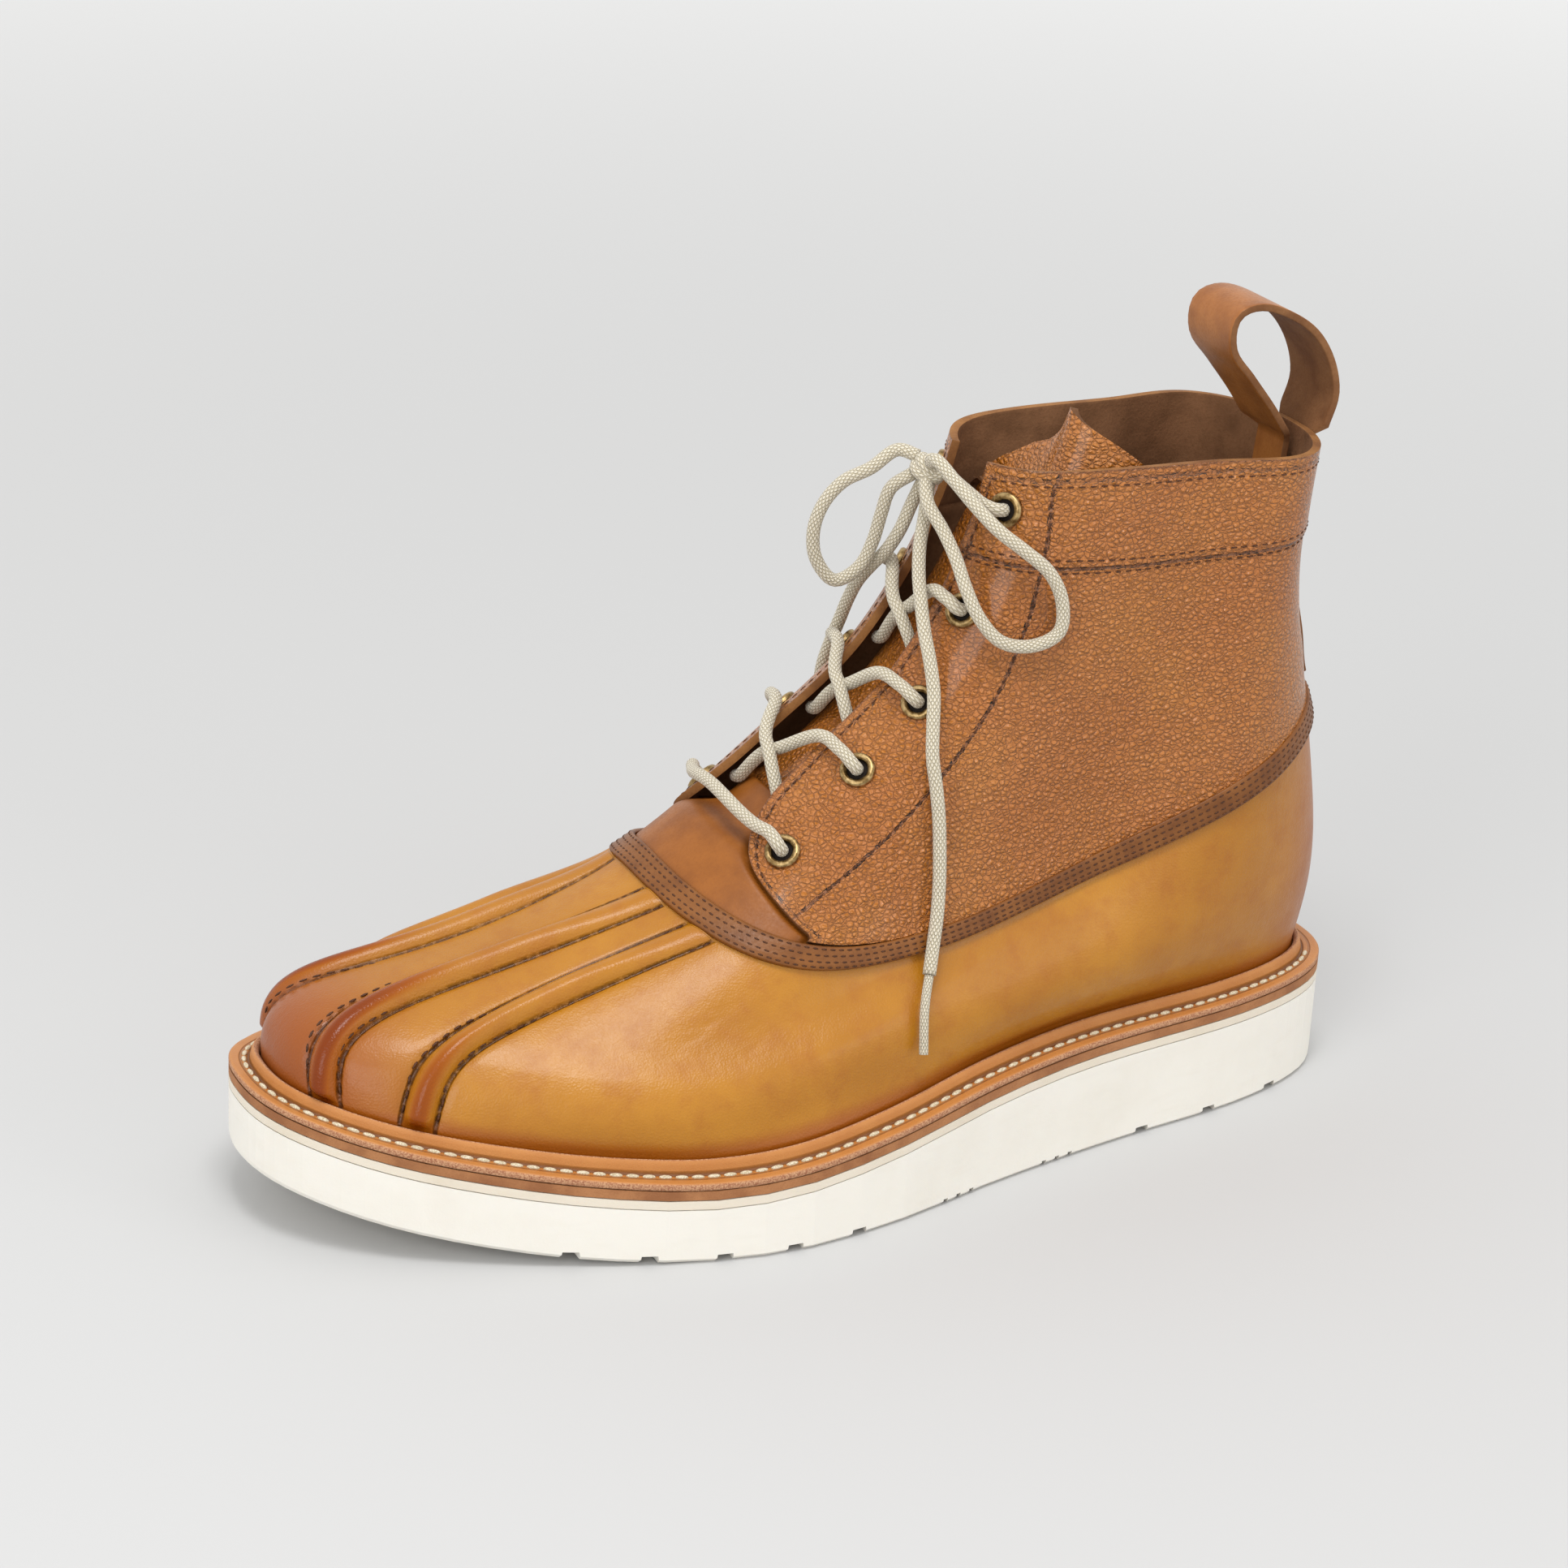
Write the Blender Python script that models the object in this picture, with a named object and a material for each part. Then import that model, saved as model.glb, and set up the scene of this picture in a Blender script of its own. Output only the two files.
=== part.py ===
# Duck boot for the left foot: storm-welted wedge sole, smooth lower shell, grained lace-up shaft.
# Toe towards -X, lateral side towards -Y, the sole rests on Z = 0. Sizes are in metres.
import math

import bmesh
import bpy
import numpy as np

# Overall sizes
LENGTH = 0.312
BALL_WIDTH = 0.120
UPPER_HEIGHT = 0.149
GAP = 0.0003

# Sole heights, along the edge
HEEL_STACK = 0.0277
FORE_STACK = 0.0172
WEDGE_FROM = 0.28
WEDGE_TO = 0.70
TOE_SPRING = 0.0160
TOE_SPRING_FROM = 0.66
TOE_STACK_RISE = 0.0158
TOE_STACK_FROM = 0.62
HEEL_ROLL = 0.0025
HEEL_ROLL_SHARE = 0.035
FOAM = 0.0026
MIDSOLE = 0.0024
WELT = 0.0022
BEAD_HEIGHT = 0.0036
BEAD_WIDTH = 0.0024
LEDGE = 0.0080
SOLE_CHAMFER = 0.0012
INSOLE = 0.0030
INSOLE_MARGIN = 0.0012

# Lugs along the sole's edge
LUG_DEPTH = 0.0022
LUG_REACH = 0.0130
LUG_LENGTH = 0.0062
LUG_SHARES = (0.545, 0.605, 0.665, 0.725, 0.785, 0.085, 0.160, 0.235)
NICK_SHARES = (0.315, 0.425)
NICK_COUNT = 3
NICK_PITCH = 0.0045
NICK_LENGTH = 0.0022

# Leather
WALL = 0.0022
SHELL_STEP = 0.0010
COLLAR_STEP = 0.0006
RIDGE_WIDTH = 0.0080
RIDGE_HEIGHT = 0.0026
TONGUE_THICK = 0.0020

# Eyelets and laces
EYELET_RADIUS = 0.0044
EYELET_BORE = 0.0027
EYELET_LIP = 0.0009
EYELET_SEAT = 0.0006
EYELETS = (
    # row, distance from the facing's edge
    (9.07, 0.0110),
    (10.10, 0.0144),
    (10.93, 0.0134),
    (11.97, 0.0095),
    (13.30, 0.0095),
)
LACE_RADIUS = 0.00175

EYELET_SIDES = 8
LACE_SIDES = 6
LACE_POINTS = 17
LACE_CLEAR = 0.0039
LACE_OVER = 0.0024
LACE_UNDER = -0.0004
LACE_TUCK = 0.0045
LACE_HIDDEN = 0.10
LACE_LEAN = 0.06
LACE_FALL = 0.60

# Knot and bow: places in space, and turns as angle from the front, row and height over the surface
KNOT = (0.0300, 0.0040, 0.1770)
KNOT_RADIUS = 0.0027
KNOT_WIDTH = 0.0046
MEDIAL_LOOP = (
    (0.0262, 0.0098, 0.1822),
    (0.0190, 0.0120, 0.1765),
    (0.0096, 0.0160, 0.1700),
    (0.0050, 0.0180, 0.1590),
    (0.0073, 0.0180, 0.1476),
    (0.0135, 0.0160, 0.1443),
    (0.0190, 0.0140, 0.1522),
    (0.0214, 0.0110, 0.1662),
    (0.0235, 0.0090, 0.1735),
)
LATERAL_LOOP_ENDS = ((0.0275, -0.0020, 0.1825), (0.0255, -0.0010, 0.1730))
LATERAL_LOOP = (
    (0.480, 13.07, 0.0100),
    (0.820, 12.60, 0.0062),
    (0.986, 12.13, 0.0050),
    (0.986, 11.80, 0.0048),
    (0.803, 11.73, 0.0050),
    (0.654, 11.80, 0.0060),
    (0.489, 12.13, 0.0085),
    (0.288, 12.63, 0.0095),
)
LACE_END_START = (-0.0015, 0.0030, -0.0068)
LACE_END = (
    (0.113, 12.30, 0.0085),
    (0.330, 11.65, 0.0080),
    (0.524, 11.10, 0.0066),
    (0.700, 10.45, 0.0050),
    (0.890, 9.87, 0.0038),
    (1.117, 8.80, 0.0038),
    (1.257, 7.67, 0.0034),
    (1.492, 5.27, 0.0026),
    (1.588, 2.97, 0.0026),
)
TIP_SHARE = 0.14
KNOT_POINTS = 19
MEDIAL_LOOP_POINTS = 13
LATERAL_LOOP_POINTS = 17
END_POINTS = 17
TIP_POINTS = 3
WHOLE_END_POINTS = 400
TIP_RADIUS = 0.0012

# Pull loop: rows and heights of the legs, and x and z of the arc between them
LOOP_WIDTH = 0.022
LOOP_THICK = 0.0020
LOOP_COLUMNS = 5
LOOP_POINTS = 14
LOOP_STAY = ((8.75, 0.0003), (9.6, 0.0004), (10.6, 0.0005), (11.6, 0.0004), (12.5, 0.0010), (12.9, 0.0004), (13.9, 0.0004))
# Arc of the loop: distance behind the collar's back edge and height over it
LOOP_ARC = (
    (0.0036, 0.0010),
    (0.0058, 0.0100),
    (0.0026, 0.0200),
    (-0.0044, 0.0280),
    (-0.0164, 0.0335),
    (-0.0244, 0.0320),
    (-0.0249, 0.0240),
    (-0.0189, 0.0165),
    (-0.0119, 0.0080),
    (-0.0069, 0.0010),
)
LOOP_INSIDE = ((13.8, 0.0006), (13.2, 0.0006), (12.7, 0.0006))

# How blunt the ends of a closed curve are: heel and toe, for the sole and the lowest and highest rows
SOLE_ROUND = 0.82
HEEL_ROUND = (0.78, 0.80)
NOSE_ROUND = (0.80, 0.80)
END_ANGLE = 0.012

# Sole outline: share of the length from the heel, half widths as shares of the ball width
SOLE_PLAN = (
    # along, lateral, medial
    (0.03, 0.176, 0.180),
    (0.07, 0.240, 0.250),
    (0.13, 0.296, 0.312),
    (0.27, 0.371, 0.313),
    (0.40, 0.458, 0.304),
    (0.51, 0.548, 0.350),
    (0.60, 0.587, 0.400),
    (0.68, 0.568, 0.425),
    (0.76, 0.512, 0.429),
    (0.84, 0.433, 0.396),
    (0.92, 0.329, 0.296),
    (0.97, 0.217, 0.188),
)

# Girth rows of the last above the feather line. A row is a closed curve from the heel to a nose that
# climbs the toe, the vamp and the instep. Ends are shares of the length from the middle, rises and
# dips are shares of the upper's height above the welt, half widths are shares of the ball width.
ROWS = (
    # nose_x, nose_rise, heel_x, heel_rise, dip, ridge, then lateral and medial at heel, waist, ball, nose
    (-0.474, 0.074, 0.483, 0.104, 0.024, 0.000, 0.267, 0.279, 0.429, 0.279, 0.504, 0.375, 0.258, 0.238),
    (-0.464, 0.118, 0.485, 0.158, 0.032, 0.000, 0.275, 0.288, 0.433, 0.288, 0.508, 0.375, 0.242, 0.212),
    (-0.434, 0.158, 0.484, 0.214, 0.045, 0.008, 0.278, 0.292, 0.421, 0.288, 0.492, 0.362, 0.250, 0.225),
    (-0.384, 0.194, 0.482, 0.274, 0.068, 0.017, 0.275, 0.292, 0.392, 0.283, 0.488, 0.342, 0.267, 0.246),
    (-0.314, 0.235, 0.475, 0.338, 0.099, 0.025, 0.272, 0.288, 0.362, 0.279, 0.458, 0.317, 0.292, 0.267),
    (-0.240, 0.290, 0.469, 0.410, 0.136, 0.033, 0.268, 0.283, 0.338, 0.273, 0.417, 0.296, 0.312, 0.283),
    (-0.160, 0.366, 0.460, 0.486, 0.169, 0.042, 0.264, 0.279, 0.300, 0.267, 0.365, 0.279, 0.304, 0.275),
    (-0.090, 0.453, 0.449, 0.552, 0.138, 0.038, 0.258, 0.271, 0.275, 0.258, 0.308, 0.262, 0.246, 0.254),
    (-0.022, 0.552, 0.442, 0.617, 0.108, 0.033, 0.250, 0.258, 0.258, 0.250, 0.275, 0.254, 0.212, 0.233),
    (0.045, 0.656, 0.432, 0.702, 0.073, 0.029, 0.242, 0.252, 0.246, 0.246, 0.250, 0.242, 0.179, 0.217),
    (0.091, 0.779, 0.427, 0.797, 0.034, 0.029, 0.233, 0.246, 0.236, 0.242, 0.233, 0.238, 0.158, 0.204),
    (0.120, 0.904, 0.429, 0.899, 0.011, 0.029, 0.225, 0.242, 0.228, 0.240, 0.221, 0.236, 0.146, 0.196),
    (0.133, 1.002, 0.434, 1.005, -0.007, 0.029, 0.221, 0.242, 0.223, 0.240, 0.212, 0.236, 0.142, 0.192),
)
STATIONS = (0.12, 0.42, 0.70, 0.93)
END_FULLNESS = (0.97, 0.97)
DIP_POWERS = (1.1, 0.8)

# Row numbers of the seams: row 0 is the upper's hidden lower edge, row 1 the feather line
BAND_ROW = 8.0
THROAT_ROW = 8.38
COLLAR_SEAM_ROW = 12.6
LAST_ROW = 14.0
STEP_ROWS = 0.03

# Angle from the front, on either side, of the facings' edge at each row
THROAT = (
    # row, angle
    (8.38, 0.720),
    (8.60, 0.530),
    (8.80, 0.360),
    (9.00, 0.275),
    (9.30, 0.215),
    (10.0, 0.190),
    (11.0, 0.195),
    (12.0, 0.200),
    (13.0, 0.205),
    (14.0, 0.200),
)

# Vamp seams: angles from the front of the inner and outer pair at each row
RIDGES = (
    # row, inner, outer
    (1.0, 0.330, 0.610),
    (2.8, 0.290, 0.620),
    (4.1, 0.210, 0.560),
    (5.4, 0.125, 0.440),
    (6.5, 0.108, 0.350),
    (7.3, 0.122, 0.335),
    (8.0, 0.165, 0.385),
)
SEAM_LANE = (0.98, 0.72)

CLOSED_ROWS = (0.0, 1.0, 1.25, 1.7, 2.3, 3.0, 3.8, 4.6, 5.4, 6.2, 7.1, 8.0)
OPEN_ROWS = (8.5, 8.7, 8.95, 9.3, 9.9, 10.6, 11.3, 12.0)
COLLAR_ROWS = (13.3, 14.0)
SIDE_STEPS = 20
SIDE_CROWDING = 0.35


def smoothstep(value, low, high):
    share = np.clip((np.asarray(value, float) - low) / (high - low), 0, 1)
    return share * share * (3 - 2 * share)


def blend(knots, values, at):
    """Smooth curve through the values at the knots, with slopes from the neighbours."""
    knots = np.asarray(knots, float)
    values = np.asarray(values, float)
    at = np.clip(np.asarray(at, float), knots[0], knots[-1])
    slopes = np.gradient(values, knots, axis=0)
    i = np.clip(np.searchsorted(knots, at, side="right") - 1, 0, len(knots) - 2)
    step = knots[i + 1] - knots[i]
    f = (at - knots[i]) / step
    a = (1 + 2 * f) * (1 - f) ** 2
    b = f * (1 - f) ** 2
    c = f * f * (3 - 2 * f)
    d = f * f * (f - 1)
    return a * values[i] + b * step * slopes[i] + c * values[i + 1] + d * step * slopes[i + 1]


def angle_of(share):
    """Angle from the heel at which a closed curve reaches this share of its length."""
    return np.arccos(1 - 2 * np.asarray(share, float))


def sole_share(x):
    return np.clip((LENGTH / 2 - x) / LENGTH, 0, 1)


def stack_height(x):
    """Height of the leather's lower edge above the floor."""
    share = sole_share(x)
    wedge = HEEL_STACK + (FORE_STACK - HEEL_STACK) * smoothstep(share, WEDGE_FROM, WEDGE_TO)
    toe = np.clip((share - TOE_STACK_FROM) / (1 - TOE_STACK_FROM), 0, 1)
    return wedge + TOE_STACK_RISE * toe**2


def ground_height(x):
    """Height of the tread above the floor: the toe spring and the rolled back of the heel."""
    share = sole_share(x)
    toe = np.clip((share - TOE_SPRING_FROM) / (1 - TOE_SPRING_FROM), 0, 1)
    heel = np.clip((HEEL_ROLL_SHARE - share) / HEEL_ROLL_SHARE, 0, 1)
    return TOE_SPRING * toe**2 + HEEL_ROLL * heel**2


def welt_top(x):
    return stack_height(x) + MIDSOLE + WELT


def sole_point(angle, inset):
    """x and y on the sole's outline, moved in by inset. Positive angles are the lateral side."""
    turn = np.abs(angle)
    side = np.where(np.asarray(angle) >= 0, 1, 2)
    along, lateral, medial = (np.array(column) for column in zip(*SOLE_PLAN))
    round_off = np.sin(angle_of(along)) ** SOLE_ROUND
    wide = np.where(
        side == 1,
        blend(angle_of(along), lateral * BALL_WIDTH / round_off, turn),
        blend(angle_of(along), medial * BALL_WIDTH / round_off, turn),
    )
    x = (LENGTH / 2 - inset) * np.cos(turn)
    y = (wide - inset) * np.maximum(np.sin(turn), 0) ** SOLE_ROUND
    return x, np.where(side == 1, -y, y)


def feather_row(angle, height):
    """A row that follows the welt's inner edge, at this height over the leather's lower edge."""
    x, y = sole_point(angle, LEDGE)
    return np.stack([x, y, stack_height(x) + height], axis=-1)


def girth_row(number, angle):
    """One row of the table as points at these angles."""
    row = ROWS[number]
    nose_x, nose_rise, heel_x, heel_rise, dip, ridge = row[:6]
    lateral = np.array(row[6::2]) * BALL_WIDTH
    medial = np.array(row[7::2]) * BALL_WIDTH
    up = number / (len(ROWS) - 1)
    heel_power = HEEL_ROUND[0] + (HEEL_ROUND[1] - HEEL_ROUND[0]) * up
    nose_power = NOSE_ROUND[0] + (NOSE_ROUND[1] - NOSE_ROUND[0]) * up
    turn = np.abs(angle)
    share = (1 - np.cos(turn)) / 2
    stations = angle_of(STATIONS)
    power = np.where(stations < math.pi / 2, heel_power, nose_power)
    full = (lateral + medial) / 2 / np.sin(stations) ** power
    full = np.concatenate([[full[0] * END_FULLNESS[0]], full, [full[-1] * END_FULLNESS[1]]])
    middle = (medial - lateral) / 2
    middle = np.concatenate([[middle[0]], middle, [ridge * BALL_WIDTH]])
    knots = np.concatenate([[0], stations, [math.pi]])
    round_off = np.maximum(np.sin(turn), 0) ** np.where(turn < math.pi / 2, heel_power, nose_power)
    out = blend(knots, full, turn) * round_off
    x = LENGTH * (heel_x + (nose_x - heel_x) * share)
    y = blend(knots, middle, turn) + np.where(np.asarray(angle) >= 0, -out, out)
    peak = DIP_POWERS[0] / sum(DIP_POWERS)
    most = peak ** DIP_POWERS[0] * (1 - peak) ** DIP_POWERS[1]
    hump = share ** DIP_POWERS[0] * (1 - share) ** DIP_POWERS[1] / most
    rise = heel_rise + (nose_rise - heel_rise) * share - dip * hump
    return np.stack([x, y, welt_top(x) + UPPER_HEIGHT * rise], axis=-1)


def last_surface(angle, row):
    """The upper's plain outer surface. Angle 0 is the heel, pi the front; lateral is positive."""
    angle, row = np.broadcast_arrays(np.asarray(angle, float), np.asarray(row, float))
    angle = (angle + math.pi) % (2 * math.pi) - math.pi
    rows = [feather_row(angle, MIDSOLE + GAP), feather_row(angle, MIDSOLE + WELT + BEAD_HEIGHT)]
    rows += [girth_row(number, angle) for number in range(len(ROWS))]
    rows = np.array(rows)
    slopes = np.gradient(rows, axis=0)
    slopes[0] = slopes[1] = rows[1] - rows[0]
    i = np.clip(row.astype(int), 0, len(rows) - 2)
    f = (row - i)[..., None]
    pick = np.arange(angle.size).reshape(angle.shape)

    def at(table, index):
        flat = table.reshape(len(rows), -1, 3)
        return flat[index.ravel(), pick.ravel()].reshape(angle.shape + (3,))

    over = np.clip(f, 0, 1)
    a = (1 + 2 * over) * (1 - over) ** 2
    b = over * (1 - over) ** 2
    c = over * over * (3 - 2 * over)
    d = over * over * (over - 1)
    inside = a * at(rows, i) + b * at(slopes, i) + c * at(rows, i + 1) + d * at(slopes, i + 1)
    return inside + np.maximum(f - 1, 0) * at(slopes, i + 1)


def last_normal(angle, row):
    """Unit normal of the surface, pointing out of the boot."""
    across, along = 0.04, 0.04
    around = last_surface(angle + across, row) - last_surface(angle - across, row)
    up = last_surface(angle, row + along) - last_surface(angle, np.maximum(row - along, 0))
    normal = np.cross(up, around)
    return normal / np.linalg.norm(normal, axis=-1, keepdims=True)


def lateral_turn(angle, row):
    """Metres of surface for each radian of angle."""
    step = 0.02
    chord = last_surface(angle + step, row) - last_surface(angle - step, row)
    return np.linalg.norm(chord, axis=-1) / (2 * step)


def ridge_angle(ridge, row):
    """Angle from the front of a vamp seam's middle: 0 is the inner pair, 1 the outer."""
    table = list(zip(*RIDGES))
    return blend(table[0], table[ridge + 1], row)


def side_shares():
    """Shares of the way from the heel to the side seam or the throat, closer together at the heel."""
    even = np.linspace(0, 1, SIDE_STEPS + 1)
    return [float(share - SIDE_CROWDING * share * (1 - share)) for share in even]


def throat_angle(row):
    rows, angles = zip(*THROAT)
    return blend(rows, angles, row)


def front_lanes(row):
    """Angles from the front of the mesh lines on one side, from the side seam in to the middle."""
    seam = SEAM_LANE[0] + (SEAM_LANE[1] - SEAM_LANE[0]) * smoothstep(row, 1.0, THROAT_ROW)
    lanes = []
    for ridge in (1, 0):
        middle = ridge_angle(ridge, row)
        half = RIDGE_WIDTH / 2 / float(lateral_turn(math.pi - middle, row))
        lanes += [middle + half * share for share in (1, 0.55, 0, -0.55, -1)]
    first = [seam, seam + (lanes[0] - seam) / 3, seam + (lanes[0] - seam) * 2 / 3]
    between = [(lanes[4] + lanes[5]) / 2]
    last = [lanes[-1] * 2 / 3, lanes[-1] / 3]
    return first + lanes[:5] + between + lanes[5:] + last


RIDGE_LANES = {3: 0, 4: 0.72, 5: 1, 6: 0.72, 7: 0, 9: 0, 10: 0.72, 11: 1, 12: 0.72, 13: 0}


def ridge_relief(lane, row):
    """Height of the vamp seams over the shell on this mesh line."""
    if row >= BAND_ROW + STEP_ROWS:
        return 0.0
    foot = float(smoothstep(row, 1.0, 1.5))
    top = 1 - 0.6 * float(smoothstep(row, 6.5, BAND_ROW))
    return RIDGE_HEIGHT * RIDGE_LANES.get(lane, 0) * foot * top


def upper_row(row):
    """Angles and reliefs of the mesh lines of one row, from the heel round the lateral side."""
    step = SHELL_STEP if row > BAND_ROW else 0.0
    step += COLLAR_STEP if row > COLLAR_SEAM_ROW else 0.0
    if row > THROAT_ROW:
        edge = math.pi - float(throat_angle(row))
        side = [edge * share for share in side_shares()]
        return side + [-angle for angle in reversed(side[1:])], [step] * (2 * len(side) - 1)
    lanes = front_lanes(row)
    side = [(math.pi - lanes[0]) * share for share in side_shares()]
    front = [math.pi - lane for lane in lanes[1:]]
    angles = side + front + [math.pi] + [-a for a in reversed(front)] + [-a for a in reversed(side[1:])]
    relief = [step + ridge_relief(lane, row) for lane in range(1, len(lanes))]
    sides = [step] * len(side)
    return angles, sides + relief + [step] + relief[::-1] + sides[1:]


def new_object(name, bm, material, parent):
    bmesh.ops.remove_doubles(bm, verts=bm.verts, dist=1e-6)
    bmesh.ops.recalc_face_normals(bm, faces=bm.faces)
    mesh = bpy.data.meshes.new(name)
    bm.to_mesh(mesh)
    bm.free()
    mesh.materials.append(material)
    mesh.shade_smooth()
    mesh.set_sharp_from_angle(angle=math.radians(40))
    obj = bpy.data.objects.new(name, mesh)
    obj.parent = parent
    bpy.context.scene.collection.objects.link(obj)
    return obj


def new_material(name, colour, roughness, metallic=0.0):
    material = bpy.data.materials.new(name)
    material.use_nodes = True
    shader = material.node_tree.nodes["Principled BSDF"]
    shader.inputs["Base Color"].default_value = (*colour, 1.0)
    shader.inputs["Roughness"].default_value = roughness
    shader.inputs["Metallic"].default_value = metallic
    return material


def bridge(bm, first, second, closed):
    """Faces between two lines of vertices with the same count."""
    count = len(first)
    for i in range(count if closed else count - 1):
        j = (i + 1) % count
        bm.faces.new((first[i], first[j], second[j], second[i]))


def sheet(bm, outer, inner):
    """A solid sheet between two grids of points with the same rows and columns."""
    skins = [[[bm.verts.new(point) for point in row] for row in grid] for grid in (outer, inner)]
    for skin in skins:
        for first, second in zip(skin, skin[1:]):
            bridge(bm, first, second, False)
    front, back = skins
    for i in (0, -1):
        bridge(bm, front[i], back[i], False)
    for first, second in ((0, 0), (-1, -1)):
        bridge(bm, [row[first] for row in front], [row[second] for row in back], False)


def make_upper(material, parent):
    """Closed rings up to the throat, then open rows round the back between the facings."""
    bm = bmesh.new()
    closed = list(CLOSED_ROWS) + [BAND_ROW + STEP_ROWS, THROAT_ROW]
    seam = [COLLAR_SEAM_ROW, COLLAR_SEAM_ROW + STEP_ROWS]
    opened = list(OPEN_ROWS) + seam + list(COLLAR_ROWS)
    skins = [[], []]
    for row in closed + opened:
        angles, relief = (np.array(column) for column in upper_row(row))
        points = last_surface(angles, row)
        normals = last_normal(angles, row)
        skins[0].append([bm.verts.new(p) for p in points + normals * relief[:, None]])
        skins[1].append([bm.verts.new(p) for p in points - normals * WALL])
    last_closed = len(closed) - 1
    side = SIDE_STEPS
    halves = []
    for skin in skins:
        for first, second in zip(skin[:last_closed], skin[1 : last_closed + 1]):
            bridge(bm, first, second, True)
        free = skin[last_closed:]
        halves.append([[line[: side + 1] for line in free], [line[-side:] + line[:1] for line in free]])
    for half in (0, 1):
        for lines in (halves[0][half], halves[1][half]):
            for first, second in zip(lines, lines[1:]):
                bridge(bm, first, second, False)
        bridge(bm, halves[0][half][-1], halves[1][half][-1], False)
        edge = -1 if half == 0 else 0
        bridge(bm, [line[edge] for line in halves[0][half]], [line[edge] for line in halves[1][half]], False)
    bridge(bm, skins[0][0], skins[1][0], True)
    base = slice(side, 1 - side)
    bridge(bm, skins[0][last_closed][base], skins[1][last_closed][base], False)
    return new_object("upper", bm, material, parent)


def edge_angles(count):
    """Angles from heel to toe, closer at the round ends."""
    half = count // 2
    first = [math.pi / 2 * (i / half) ** 1.4 for i in range(half + 1)]
    first[0] = END_ANGLE
    return first + [math.pi - angle for angle in reversed(first[:-1])]


def make_plate(name, inset, bottom, top, material, parent, chamfer=0.0, count=48):
    """A sole layer: cross sections from heel to toe between two heights that depend on x."""
    bm = bmesh.new()
    sections = []
    for angle in edge_angles(count):
        x, lateral = (float(v) for v in sole_point(angle, inset))
        _, medial = (float(v) for v in sole_point(-angle, inset))
        low, high = float(bottom(x)), float(top(x))
        outline = [(medial, high), (lateral, high)]
        if chamfer:
            slope = min(chamfer, (medial - lateral) / 4)
            outline += [(lateral, low + chamfer), (lateral + slope, low)]
            outline += [(medial - slope, low), (medial, low + chamfer)]
        else:
            outline += [(lateral, low), (medial, low)]
        sections.append([bm.verts.new((x, y, z)) for y, z in outline])
    for first, second in zip(sections, sections[1:]):
        bridge(bm, first, second, True)
    bm.faces.new(sections[0])
    bm.faces.new(sections[-1])
    return new_object(name, bm, material, parent)


def add_box(bm, low, high, taper):
    """A block whose top is narrower along x by taper on each side."""
    corners = []
    for z, trim in ((low[2], 0), (high[2], taper)):
        for x, y in ((low[0] + trim, low[1]), (high[0] - trim, low[1]), (high[0] - trim, high[1]), (low[0] + trim, high[1])):
            corners.append(bm.verts.new((x, y, z)))
    for face in ((3, 2, 1, 0), (4, 5, 6, 7), (0, 1, 5, 4), (1, 2, 6, 5), (2, 3, 7, 6), (3, 0, 4, 7)):
        bm.faces.new([corners[i] for i in face])


def make_lug_cutter(parent):
    """Blocks that notch the sole's lower edge between its lugs."""
    bm = bmesh.new()
    notches = [(share, LUG_LENGTH, LUG_DEPTH) for share in LUG_SHARES]
    for share in NICK_SHARES:
        for i in range(NICK_COUNT):
            notches.append((share + i * NICK_PITCH / LENGTH, NICK_LENGTH, LUG_DEPTH * 0.75))
    for share, length, depth in notches:
        x = LENGTH / 2 - share * LENGTH
        floor = float(ground_height(x))
        for side in (1, -1):
            _, y = (float(v) for v in sole_point(side * float(angle_of(share)), 0.0))
            ends = sorted((y - math.copysign(LUG_REACH, y), y * 1.3))
            low = (x - length / 2, ends[0], floor - 0.004)
            high = (x + length / 2, ends[1], floor + depth)
            add_box(bm, low, high, length * 0.18)
    cutter = new_object("lug_cutter", bm, None, parent)
    cutter.hide_render = True
    cutter.display_type = "WIRE"
    return cutter


def make_outsole(material, parent):
    sole = make_plate(
        "outsole", 0.0, ground_height, lambda x: stack_height(x) - FOAM - GAP, material, parent, SOLE_CHAMFER
    )
    cut = sole.modifiers.new("lugs", "BOOLEAN")
    cut.operation = "DIFFERENCE"
    cut.object = make_lug_cutter(parent)
    return sole


def make_welt(material, parent):
    """Flat ledge with the storm bead standing against the upper."""
    base = MIDSOLE + GAP
    top = MIDSOLE + WELT
    inner = LEDGE - GAP
    bead = inner - BEAD_WIDTH
    profile = (
        (0.0, base),
        (0.0, top),
        (bead - 0.0003, top),
        (bead, top + BEAD_HEIGHT * 0.55),
        (bead + BEAD_WIDTH * 0.4, top + BEAD_HEIGHT),
        (inner, top + BEAD_HEIGHT * 0.92),
        (inner, base),
    )
    bm = bmesh.new()
    around = upper_row(0.0)[0]
    loops = []
    for inset, height in profile:
        x, y = sole_point(np.array(around), inset)
        z = stack_height(x) + height
        loops.append([bm.verts.new(point) for point in zip(x, y, z)])
    for first, second in zip(loops, loops[1:] + loops[:1]):
        bridge(bm, first, second, True)
    return new_object("welt", bm, material, parent)


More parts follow.
